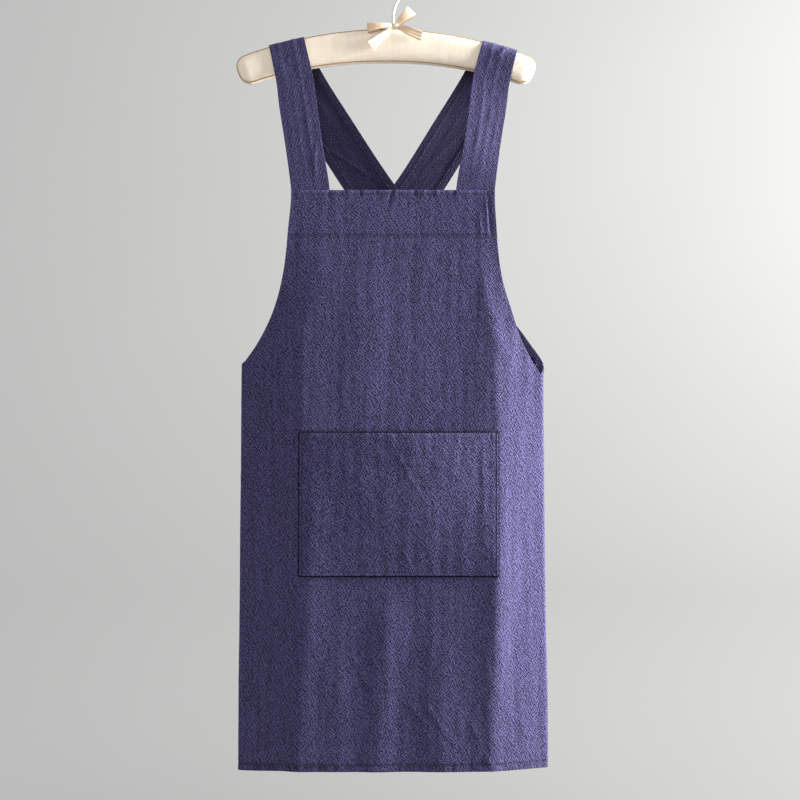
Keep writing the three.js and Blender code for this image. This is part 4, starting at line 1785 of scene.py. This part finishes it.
@dataclass
class ShoulderStrap:
    """A wide strap with a hem turned in along each edge."""

    cut: ApronCut
    bar: "PaddedBar"
    side: Side
    route: StrapRoute = field(default_factory=StrapRoute)
    rows: int = 420
    streaks: tuple[tuple[float, float], ...] = ((-0.60, 0.0005), (-0.15, 0.0006), (0.34, 0.0010))
    seam_shown: float = 0.3  # how dark its seams are on the right side of the cloth
    crush: Ruffle = Ruffle(0.0004, 0.010, 0.012, 2.2)
    front_creases: dict[int, tuple[Crease, ...]] = field(
        default_factory=lambda: {
            1: (Crease(0.148, -0.184, 0.1285, -0.168, 0.0016, 0.0010),),
            -1: (Crease(-0.100, -0.014, -0.098, -0.060, 0.0018, 0.0008),),
        }
    )
    back_creases: dict[int, tuple[Crease, ...]] = field(
        default_factory=lambda: {
            1: (Crease(0.085, -0.075, 0.040, -0.030, 0.0020, -0.0006),),
            -1: (Crease(-0.0876, -0.057, -0.0014, -0.003, 0.0018, -0.0010),),
        }
    )
    strip: Strip = field(init=False)
    acrosses: list[float] = field(init=False)

    def __post_init__(self) -> None:
        """Sets out the strip and its columns."""
        self.strip = Strip(self.stations(), -self.side.sign)
        hem = [-self.route.top_half + away for away in HEM_ROWS[::-1]]
        inner = ruler(hem[-1], [(-hem[-1], 18)])
        self.acrosses = hem + inner[1:] + [-x for x in hem[-2::-1]]

    @property
    def name(self) -> str:
        """The strap's name."""
        return "strap_left" if self.side is LEFT else "strap_right"

    def stations(self) -> list[Station]:
        """Sets out the strap's way.

        Returns:
            The stations from the bib to the flap.
        """
        route, cut, sign = self.route, self.cut, self.side.sign
        other = RIGHT if self.side is LEFT else LEFT
        nearer = -route.cross_apart if self.side is LEFT else route.cross_apart
        tuck_depth = cut.bib_depth + route.layer
        places = []
        for out, below, half, tilt, depth, twist in route.front:
            y = lerp(-route.bar_off, tuck_depth, depth)
            twist = twist if self.side is RIGHT else 0.0
            places.append(Station(Vector((sign * out, y, BAR_TOP - below)), half, tilt, twist))
        along = self.bar.along_at(sign * route.top_out)
        middle, outward, height = self.bar.at(along)
        centre = middle + outward * (height / 2 - self.bar.depth / 2)
        lean = math.degrees(abs(along / self.bar.arch))
        for step in range(route.over_steps + 1):
            swing = math.pi * (step / route.over_steps - 0.5)
            place = centre + outward * (route.bar_off * math.cos(swing))
            place.y = route.bar_off * math.sin(swing)
            places.append(Station(place, route.top_half, lean))
        end_depth = cut.flap_depth(other, 0.0, other.flap_top) + route.layer
        for out, below, half, tilt, depth, cross in route.back:
            x = sign * out + route.cross_shift * cross
            y = lerp(route.bar_off, end_depth, depth) + nearer * cross
            places.append(Station(Vector((x, y, BAR_TOP - below)), half, tilt))
        for inset, rise, half, tilt in route.end:
            drop = other.flap_top - rise
            x = other.sign * (other.sewn - inset)
            y = cut.flap_depth(other, 0.0, drop) + route.layer
            places.append(Station(Vector((x, y, BIB_TOP - drop)), half, tilt))
        return places

    def across_at(self, column: int, half: float) -> float:
        """Share of the half width where a column lies, with the hems kept at their width.

        Args:
            column: The column.
            half: Half the strap's width there.

        Returns:
            The share, from -1 to 1.
        """
        flat, narrow = self.acrosses[column], self.route.top_half
        inner = narrow - HEM_ROWS[0]
        if abs(flat) <= inner:
            return flat / inner * (half - HEM_ROWS[0]) / half
        return math.copysign((half - (narrow - abs(flat))) / half, flat)

    def point(self, column: int, row: int) -> ClothPoint:
        """Works out one point of the strap.

        Args:
            column: Its column.
            row: Its row from the bib's end.

        Returns:
            The point.
        """
        distance = self.strip.length * row / self.rows
        middle, width = self.strip.at(distance)
        half = width.length
        column = column if self.side is RIGHT else len(self.acrosses) - 1 - column
        share = self.across_at(column, half)
        edge = half * (1 - abs(share))
        sewn = min(distance, self.strip.length - distance)
        free = smoothstep(sewn, self.route.tuck, self.route.tuck + 0.05) * smoothstep(edge, 0.0, 0.008)
        relief = self.crush.lift(share * half, distance, self.side.sign)
        for centre, height in self.streaks:
            wander = 0.12 * ripple(distance / 0.06, centre, 7.7 * self.side.sign)
            strength = 0.6 + 0.5 * ripple(distance / 0.05, centre, 3.3)
            relief += height * strength * bell((share - centre - wander) * half, 0.0028)
        relief *= 0.6 if middle.y > 0 else 1.0
        seam = self.seam_shown * bell(edge - STITCH_IN, 0.0013)
        is_hem = edge < HEM_WIDTH and sewn > self.route.tuck
        layers = 1.0 if is_hem else CLOTH / HEMMED
        flat = (share * half + 1.5 * self.side.sign, -distance)
        place = middle + width * share
        creases = self.front_creases if place.y < 0 else self.back_creases
        pressed = sum(crease.lift(place.x, BIB_TOP - place.z) for crease in creases[self.side.sign])
        lift = (max(relief, 0.0) + pressed) * free + HALF_WALL - SUNK * seam
        return ClothPoint(place, flat, lift, layers, seam)

    def build(self) -> bpy.types.Object:
        """Makes the strap."""
        return cloth_object(f"{self.name}_cloth", len(self.acrosses) - 1, self.rows, self.point)

    def sew(self, cloth: bpy.types.Object, thread: bpy.types.Material) -> bpy.types.Object:
        """Sews both hems, with stitches on both sides of the strap.

        Args:
            cloth: The finished strap.
            thread: The thread's material.

        Returns:
            The stitches.
        """
        rows = StitchRows(f"{self.name}_stitches", surface_of(cloth), reach=0.006)
        distances = ruler(self.route.tuck, [(self.strip.length - self.route.tuck, 240)])
        for edge in (-1, 1):
            path, outward = [], []
            for distance in distances:
                middle, width = self.strip.at(distance)
                share = edge * (1 - STITCH_IN / width.length)
                path.append(middle + width * share)
                outward.append(self.strip.outward(distance))
            rows.sew(path, outward)
            rows.sew(path, [-side for side in outward])
        return rows.finish(thread)


# Hanger


@dataclass
class PaddedBar:
    """The padded bar, covered in cloth with a piped seam round its front and its back."""

    span: float = 0.3785
    height: float = 0.043
    end_height: float = 0.037
    depth: float = 0.026
    arch: float = 0.525
    shift: float = -0.0092
    fullness: float = 2.5  # power of the outline of its ends, 2 for an ellipse
    flatness: float = 2.9  # the same power for its section
    end_round: float = 0.0175
    around: int = 64
    rings: int = 180
    seam_in: float = 0.0015
    groove: float = 0.0006  # how deep the seams draw the cover in
    groove_reach: float = 0.0014
    pucker_reach: float = 0.006
    puckers: Ruffle = Ruffle(0.0005, 0.006, 0.5, 3.0)
    swells: Ruffle = Ruffle(0.0006, 0.05, 1.0, 5.0)
    piping: float = 0.0009

    @property
    def reach(self) -> float:
        """Half the bar's length along its arch."""
        return self.arch * math.asin(self.span / 2 / self.arch)

    def along_at(self, x: float) -> float:
        """Distance along the arch to the place above x."""
        return self.arch * math.asin((x - self.shift) / self.arch)

    def at(self, along: float) -> tuple[Vector, Vector, float]:
        """Finds the bar at a distance along it.

        Args:
            along: Distance from the bar's middle.

        Returns:
            The place of its middle line, its upward direction and its height.
        """
        angle = along / self.arch
        outward = Vector((math.sin(angle), 0.0, math.cos(angle)))
        centre = Vector((self.shift, 0.0, BAR_TOP - self.height / 2 - self.arch))
        height = lerp(self.height, self.end_height, abs(along) / self.reach)
        return centre + outward * self.arch, outward, height

    def rounding(self, along: float) -> float:
        """Share of the full section that is left in the round ends."""
        past = max(abs(along) - (self.reach - self.end_round), 0.0) / self.end_round
        return max(1 - past**self.fullness, 0.0) ** (1 / self.fullness)

    def build(self) -> bpy.types.Object:
        """Makes the padded form, drawn in along its seams."""
        mesh = bmesh.new()
        bmesh.ops.create_uvsphere(mesh, u_segments=self.around, v_segments=self.rings, radius=1.0)
        power = 2 / self.flatness
        for vertex in mesh.verts:
            along = self.reach * max(min(vertex.co.z, 1.0), -1.0)
            angle = math.atan2(vertex.co.y, vertex.co.x)
            middle, outward, height = self.at(along)
            full = self.rounding(along)
            up = math.copysign(abs(math.sin(angle)) ** power, math.sin(angle))
            out = math.copysign(abs(math.cos(angle)) ** power, math.cos(angle))
            inset = min(height / 2 * full * (1 - abs(up)), self.reach - abs(along))
            groove = self.groove * bell(inset - self.seam_in, self.groove_reach)
            pucker = self.puckers.lift(along, up) * math.exp(-inset / self.pucker_reach)
            deep = (self.depth / 2 + pucker + self.swells.lift(along, up)) * full - groove
            vertex.co = middle + outward * (up * full * height / 2)
            vertex.co.y = -out * deep
        bmesh.ops.recalc_face_normals(mesh, faces=mesh.faces)
        return add_object("hanger_bar_cover", mesh)

    def pipe(self, cover: bpy.types.Object, is_front: bool) -> bpy.types.Object:
        """Lays piping round the front or the back of the bar.

        Args:
            cover: The finished cover.
            is_front: True for the front.

        Returns:
            The piping.
        """
        surface = surface_of(cover)
        facing = FORWARD if is_front else BACKWARD
        straight = self.reach - self.end_round
        inset_round = self.end_round - self.seam_in
        power = 2 / self.fullness
        path = []
        end_steps, long_steps = 28, 120
        for end in (1, -1):
            for step in range(end_steps):
                swing = math.pi * (0.5 - step / end_steps)
                out = math.cos(swing) ** power
                up = math.copysign(abs(math.sin(swing)) ** power, math.sin(swing))
                path.append((end * (straight + inset_round * out), end * up))
            for step in range(long_steps):
                path.append((end * lerp(straight, -straight, step / long_steps), -float(end)))
        laid = []
        for along, up in path:
            middle, outward, height = self.at(along)
            place = middle + outward * (up * (height / 2 - self.seam_in))
            spot, _, _, _ = surface.ray_cast(place + facing * 0.05, -facing, 0.1)
            if spot is not None:
                laid.append(spot)
        name = "bar_piping_front" if is_front else "bar_piping_back"
        return add_object(name, tube_mesh(laid, self.piping, 8))


@dataclass
class WireHook:
    """The hook: a straight stem, a lean to the right and a round curl."""

    wire: float = 0.0035
    curl_radius: float = 0.021
    curl_end: float = math.radians(205)
    neck_turn: float = math.radians(48)
    stem_rise: float = 0.015
    stem_socket: float = 0.0225
    sides: int = 16

    def build(self) -> bpy.types.Object:
        """Draws the wire: extruded for its stem, then spun through its two bends.

        Returns:
            The hook.
        """
        cosine = math.cos(self.neck_turn)
        neck_radius = self.curl_radius * cosine / (1 - cosine)
        stem_top = BAR_TOP + self.stem_rise
        curl_middle = self.wire / 2 - self.curl_radius
        mesh = bmesh.new()
        foot = Matrix.Translation((0.0, 0.0, BAR_TOP - self.stem_socket))
        bmesh.ops.create_circle(mesh, cap_ends=True, segments=self.sides, radius=self.wire / 2, matrix=foot)
        ring = list(mesh.edges)
        raised = bmesh.ops.extrude_edge_only(mesh, edges=ring)["geom"]
        upper = [part for part in raised if isinstance(part, bmesh.types.BMVert)]
        bmesh.ops.translate(mesh, verts=upper, vec=(0.0, 0.0, self.stem_socket + self.stem_rise))
        edges = [part for part in raised if isinstance(part, bmesh.types.BMEdge)]
        last = upper + [edge for edge in edges if all(vertex in upper for vertex in edge.verts)]
        bends = (
            ((neck_radius, 0.0, stem_top), (0.0, 1.0, 0.0), self.neck_turn, 18),
            ((0.0, 0.0, curl_middle), (0.0, -1.0, 0.0), self.curl_end + self.neck_turn, 72),
        )
        for centre, axis, angle, steps in bends:
            last = bmesh.ops.spin(
                mesh, geom=last, cent=centre, axis=axis, angle=angle, steps=steps, use_merge=False
            )["geom_last"]
        rim = [part for part in last if isinstance(part, bmesh.types.BMEdge)]
        bmesh.ops.contextual_create(mesh, geom=rim)
        bmesh.ops.bevel(
            mesh, geom=rim, offset=self.wire / 3, segments=3, profile=0.5, affect="EDGES", material=-1
        )
        close_up(mesh)
        return add_object("hook_wire_bent", mesh)


@dataclass
class RibbonBow:
    """Satin ribbon tied in a bow round the foot of the hook."""

    ribbon: float = 0.0006
    columns: int = 10
    rows: int = 70
    knot_place: Vector = field(default_factory=lambda: Vector((0.0029, -0.0080, 0.0018)))
    knot_size: Vector = field(default_factory=lambda: Vector((0.0120, 0.0090, 0.0090)))
    turn_radius: float = 0.0033
    turn_thickness: float = 0.0012
    # X, y, height above the bar's top, half width, tilt, how much tan shows (its less glossy back and
    # painted shade), twist
    strips: tuple[tuple[tuple[float, ...], ...], ...] = (
        (
            (0.0020, -0.0080, 0.0025, 0.0024, 100, 0.1),
            (-0.0080, -0.0150, 0.0024, 0.0028, 98, 0.3),
            (-0.0220, -0.0168, 0.0008, 0.0048, 96, 0.8),
            (-0.0325, -0.0150, -0.0010, 0.0066, 95, 0.7),
            (-0.0220, -0.0130, 0.0008, 0.0048, 96, 0.9),
            (-0.0100, -0.0115, 0.0024, 0.0030, 98, 0.9),
            (0.0010, -0.0070, 0.0025, 0.0024, 100, 0.9),
        ),
        (
            (0.0040, -0.0080, 0.0030, 0.0030, -45, 0.2),
            (0.0120, -0.0105, 0.0115, 0.0056, -45, 0.7),
            (0.0200, -0.0100, 0.0190, 0.0070, -44, 0.4),
            (0.0240, -0.0075, 0.0225, 0.0074, -43, 0.0),
            (0.0200, -0.0050, 0.0190, 0.0070, -44, 0.3),
            (0.0120, -0.0050, 0.0115, 0.0052, -45, 0.9),
            (0.0040, -0.0070, 0.0030, 0.0030, -45, 0.9),
        ),
        (
            (0.0020, -0.0090, 0.0015, 0.0022, -45, 0.0),
            (-0.0060, -0.0145, -0.0055, 0.0034, -47, 0.0, 18),
            (-0.0159, -0.0175, -0.0140, 0.0054, -50, 0.0, 26),
            (-0.0286, -0.0180, -0.0242, 0.0080, -52, 0.0, 26),
        ),
        (
            (0.0040, -0.0090, 0.0015, 0.0024, 62, 0.5),
            (0.0120, -0.0140, -0.0010, 0.0040, 64, 0.7),
            (0.0191, -0.0160, -0.0044, 0.0050, 66, 0.7),
            (0.0366, -0.0165, -0.0112, 0.0062, 80, 0.6),
        ),
    )
    edge_shadowed: tuple[int, ...] = (-1, 1, -1, -1)  # the edge of each strip that takes a dark painted shadow
    flat_length: float = 0.0
    flat_area: float = 0.0

    def build(self) -> bpy.types.Object:
        """Makes the loops, the tails and the knot, joined in one piece.

        Returns:
            The bow.
        """
        parts = []
        for number, rows in enumerate(self.strips):
            stations = [
                Station(Vector((x, y, BAR_TOP + above)), half, tilt, *twist)
                for x, y, above, half, tilt, _, *twist in rows
            ]
            strip = Strip(stations, samples=400)
            back_and_shade = [row[5] for row in rows]
            parts.append(self._strip_object(f"ribbon_{number}", strip, number, back_and_shade))
            self.flat_length += strip.length
            mean_half = sum(width.length for width in strip.width) / len(strip.width)
            self.flat_area += 2 * mean_half * strip.length
        parts.append(self._knot())
        mesh = bmesh.new()
        depsgraph = bpy.context.evaluated_depsgraph_get()
        for part in parts:
            shown = part.evaluated_get(depsgraph)
            mesh.from_mesh(shown.data)
        for part in parts:
            bpy.data.objects.remove(part)
        return add_object("ribbon_bow_tied", mesh)

    def _strip_object(
        self, name: str, strip: Strip, number: int, back_and_shade: Sequence[float]
    ) -> bpy.types.Object:
        """Makes one loop or tail.

        Args:
            name: Its name.
            strip: Its way.
            number: Its place beside the others in the flat ribbon.
            back_and_shade: How much tan shows at each station, for its less glossy back and painted shade.

        Returns:
            The strip with its thickness.
        """

        def point(column: int, row: int) -> ClothPoint:
            """Works out one point of the strip."""
            distance = strip.length * row / self.rows
            middle, width = strip.at(distance)
            share = 2 * column / self.columns - 1
            half = width.length
            from_end = min(distance, strip.length - distance)
            gather = 0.0004 * math.cos(3 * math.pi * share) * bell(from_end, 0.012)
            curl = 0.0006 * share * share
            step = (len(back_and_shade) - 1) * row / self.rows
            nearest = min(int(step), len(back_and_shade) - 2)
            dull_back_and_shade = lerp(back_and_shade[nearest], back_and_shade[nearest + 1], step - nearest)
            # A dark painted shadow along one edge of the strip.
            if share * self.edge_shadowed[number] > 0.99:
                dull_back_and_shade = 2.0
            flat = (share * half + 0.1 * number, distance)
            return ClothPoint(middle + width * share, flat, curl + gather, 1.0, dull_back_and_shade)

        return cloth_object(name, self.columns, self.rows, point, wall=self.ribbon)

    def _knot(self) -> bpy.types.Object:
        """Makes the knot: a small bundle with a band round it and the turn behind it round the stem.

        Returns:
            The knot.
        """
        mesh = bmesh.new()
        cut = mesh.loops.layers.uv.new("cut")
        back_and_shade = mesh.verts.layers.float.new("seam")
        bmesh.ops.create_uvsphere(mesh, u_segments=32, v_segments=20, radius=0.5)
        for vertex in mesh.verts:
            # Some tan on the knot: its less glossy back and painted shade, as on the loops.
            vertex[back_and_shade] = 0.35
            angle = math.atan2(vertex.co.z, vertex.co.x)
            pleat = 1 + 0.05 * math.cos(7 * angle + 6 * vertex.co.y)
            vertex.co = Vector(a * b for a, b in zip(vertex.co, self.knot_size)) * pleat
            vertex.co += self.knot_place + Vector((0.0, 0.0, BAR_TOP))
        height = BAR_TOP + self.knot_place.z
        upright = Matrix.Rotation(math.pi / 2, 4, "X") @ Matrix.Diagonal((1.0, 2.2, 1.0, 1.0))
        place = Matrix.Translation((self.turn_radius, 0.0, height)) @ upright
        ring = bmesh.ops.create_circle(mesh, segments=10, radius=self.turn_thickness, matrix=place)["verts"]
        edges = {edge for vertex in ring for edge in vertex.link_edges}
        spin_round(mesh, [*ring, *edges], height, 32)
        bmesh.ops.recalc_face_normals(mesh, faces=mesh.faces)
        for face in mesh.faces:
            for loop in face.loops:
                loop[cut].uv = (loop.vert.co.x + 0.6, loop.vert.co.z)
        return add_object("ribbon_knot", mesh)


# Room


@dataclass(frozen=True)
class Softbox:
    """A soft rectangular lamp that is aimed at a place."""

    name: str
    place: tuple[float, float, float]
    aim: tuple[float, float, float]
    width: float
    height: float
    watts: float
    spread: float = math.pi

    def build(self) -> None:
        """Hangs the lamp."""
        data = bpy.data.lights.new(self.name, "AREA")
        data.shape = "RECTANGLE"
        data.size, data.size_y = self.width, self.height
        data.energy = self.watts
        data.spread = self.spread
        lamp = bpy.data.objects.new(self.name, data)
        lamp.location = self.place
        towards = Vector(self.aim) - Vector(self.place)
        lamp.rotation_euler = towards.to_track_quat("-Z", "Y").to_euler()
        lamp.visible_camera = False
        bpy.context.scene.collection.objects.link(lamp)


@dataclass
class Studio:
    """A plain pale round room with soft light, and the camera."""

    radius: float = 5.0
    floor: float = -2.10
    ceiling: float = 5.0
    cove: float = 0.8
    ambient: float = 0.50
    lens: float = 84.33
    eye: tuple[float, float, float] = (0.0089, -2.4, -0.5559)
    lamps: tuple[Softbox, ...] = (
        Softbox("key_right", (1.75, -0.06, 0.0), (0.0, 0.0, -0.6), 0.7, 1.2, 74.0, math.radians(100)),
        Softbox("front_fill", (-0.4, -3.6, 0.8), (0.0, 0.0, -0.5), 2.5, 2.5, 44.0),
        Softbox("wall_wash", (2.2, 2.0, 0.6), (1.3, 5.0, -0.2), 1.5, 2.0, 95.0),
    )

    def build_room(self, paint: bpy.types.Material) -> None:
        """Makes the floor, the cove and the wall by spinning one profile.

        Args:
            paint: The room's material.
        """
        mesh = bmesh.new()
        profile = [(0.0, self.floor), (self.radius - self.cove, self.floor)]
        for angle in ruler(0.0, [(math.pi / 2, 12)])[1:]:
            out = self.radius - self.cove * (1 - math.sin(angle))
            profile.append((out, self.floor + self.cove * (1 - math.cos(angle))))
        profile.append((self.radius, self.ceiling))
        verts = [mesh.verts.new((x, 0.0, z)) for x, z in profile]
        edges = [mesh.edges.new(pair) for pair in zip(verts, verts[1:])]
        spin_round(mesh, [*verts, *edges], 0.0, 96)
        close_up(mesh, 1e-5)
        bmesh.ops.reverse_faces(mesh, faces=mesh.faces)
        room = add_object("studio_room", mesh)
        room.data.materials.append(paint)
        room.visible_diffuse = False
        room.visible_shadow = False

    def build_light(self) -> None:
        """Hangs the lamps and sets the even light of the room."""
        for lamp in self.lamps:
            lamp.build()
        world = bpy.data.worlds.new("studio_air")
        world.use_nodes = True
        ground = world.node_tree.nodes["Background"]
        ground.inputs["Color"].default_value = (0.97, 0.98, 1.0, 1.0)
        ground.inputs["Strength"].default_value = self.ambient
        scene = bpy.context.scene
        scene.world = world
        scene.view_settings.view_transform = "Standard"

    def build_camera(self) -> None:
        """Sets up the camera, level and straight in front."""
        data = bpy.data.cameras.new("front_camera")
        data.lens = self.lens
        data.sensor_width = 36.0
        camera = bpy.data.objects.new("front_camera", data)
        camera.location = self.eye
        camera.rotation_euler = (math.pi / 2, 0.0, 0.0)
        bpy.context.scene.collection.objects.link(camera)
        bpy.context.scene.camera = camera


# Assembly


def main() -> None:
    """Builds the room, the hanger and the apron."""
    logging.basicConfig(level=logging.INFO, format="%(message)s")
    effects = Effects()
    cotton, shaded_inner_side = FRONT_COTTON.material(effects), SHADED_INNER_SIDE.material(effects)
    thread, gold = INDIGO_THREAD.material(effects), GOLDEN_PIPING.material(effects)

    studio = Studio()
    studio.build_camera()
    studio.build_room(ROOM_PAINT.material(effects))
    studio.build_light()

    bar = PaddedBar()
    cover = bar.build()
    put_on(cover, CoverCloth().material(effects), "cream_cloth", "hanger_bar")
    for is_front in (True, False):
        put_on(bar.pipe(cover, is_front), gold, "cream_cloth")
    hook = WireHook().build()
    put_on(hook, HOOK_PAINT.material(effects), "hook_wire", "hanger_hook")
    ribbon = RibbonBow()
    bow = ribbon.build()
    put_on(bow, SatinRibbon().material(effects), "cream_ribbon", "ribbon_bow")

    cut = ApronCut()
    pocket = FrontPocket(cut)
    body = ApronBody(cut, pocket)
    cloth = body.build()
    put_on(cloth, cotton, "indigo_cloth", "apron_body")
    # The inner side takes the darker copy painted with shade; the turned hems show the outer cotton.
    line_with(cloth, shaded_inner_side, shows_hems=True)
    stitches = body.sew(cloth, thread)
    width, length, area = body.flat_size()
    facing = BibFacing(cut).build()
    put_on(facing, cotton, "indigo_cloth", "bib_facing")
    patch = pocket.build()
    put_on(patch, POCKET_COTTON.material(effects), "indigo_cloth", "front_pocket")
    # The pocket's sewn rim takes the dark material of painted shade.
    patch.data.materials.append(POCKET_RIM_SHADE.material(effects))
    pocket.sew(patch, thread)
    strap_cotton = STRAP_COTTON.material(effects)
    for side in (LEFT, RIGHT):
        strap = ShoulderStrap(cut, bar, side)
        band = strap.build()
        put_on(band, strap_cotton, "indigo_cloth", strap.name)
        line_with(band, shaded_inner_side)
        strap.sew(band, thread)


if __name__ == "__main__":
    main()
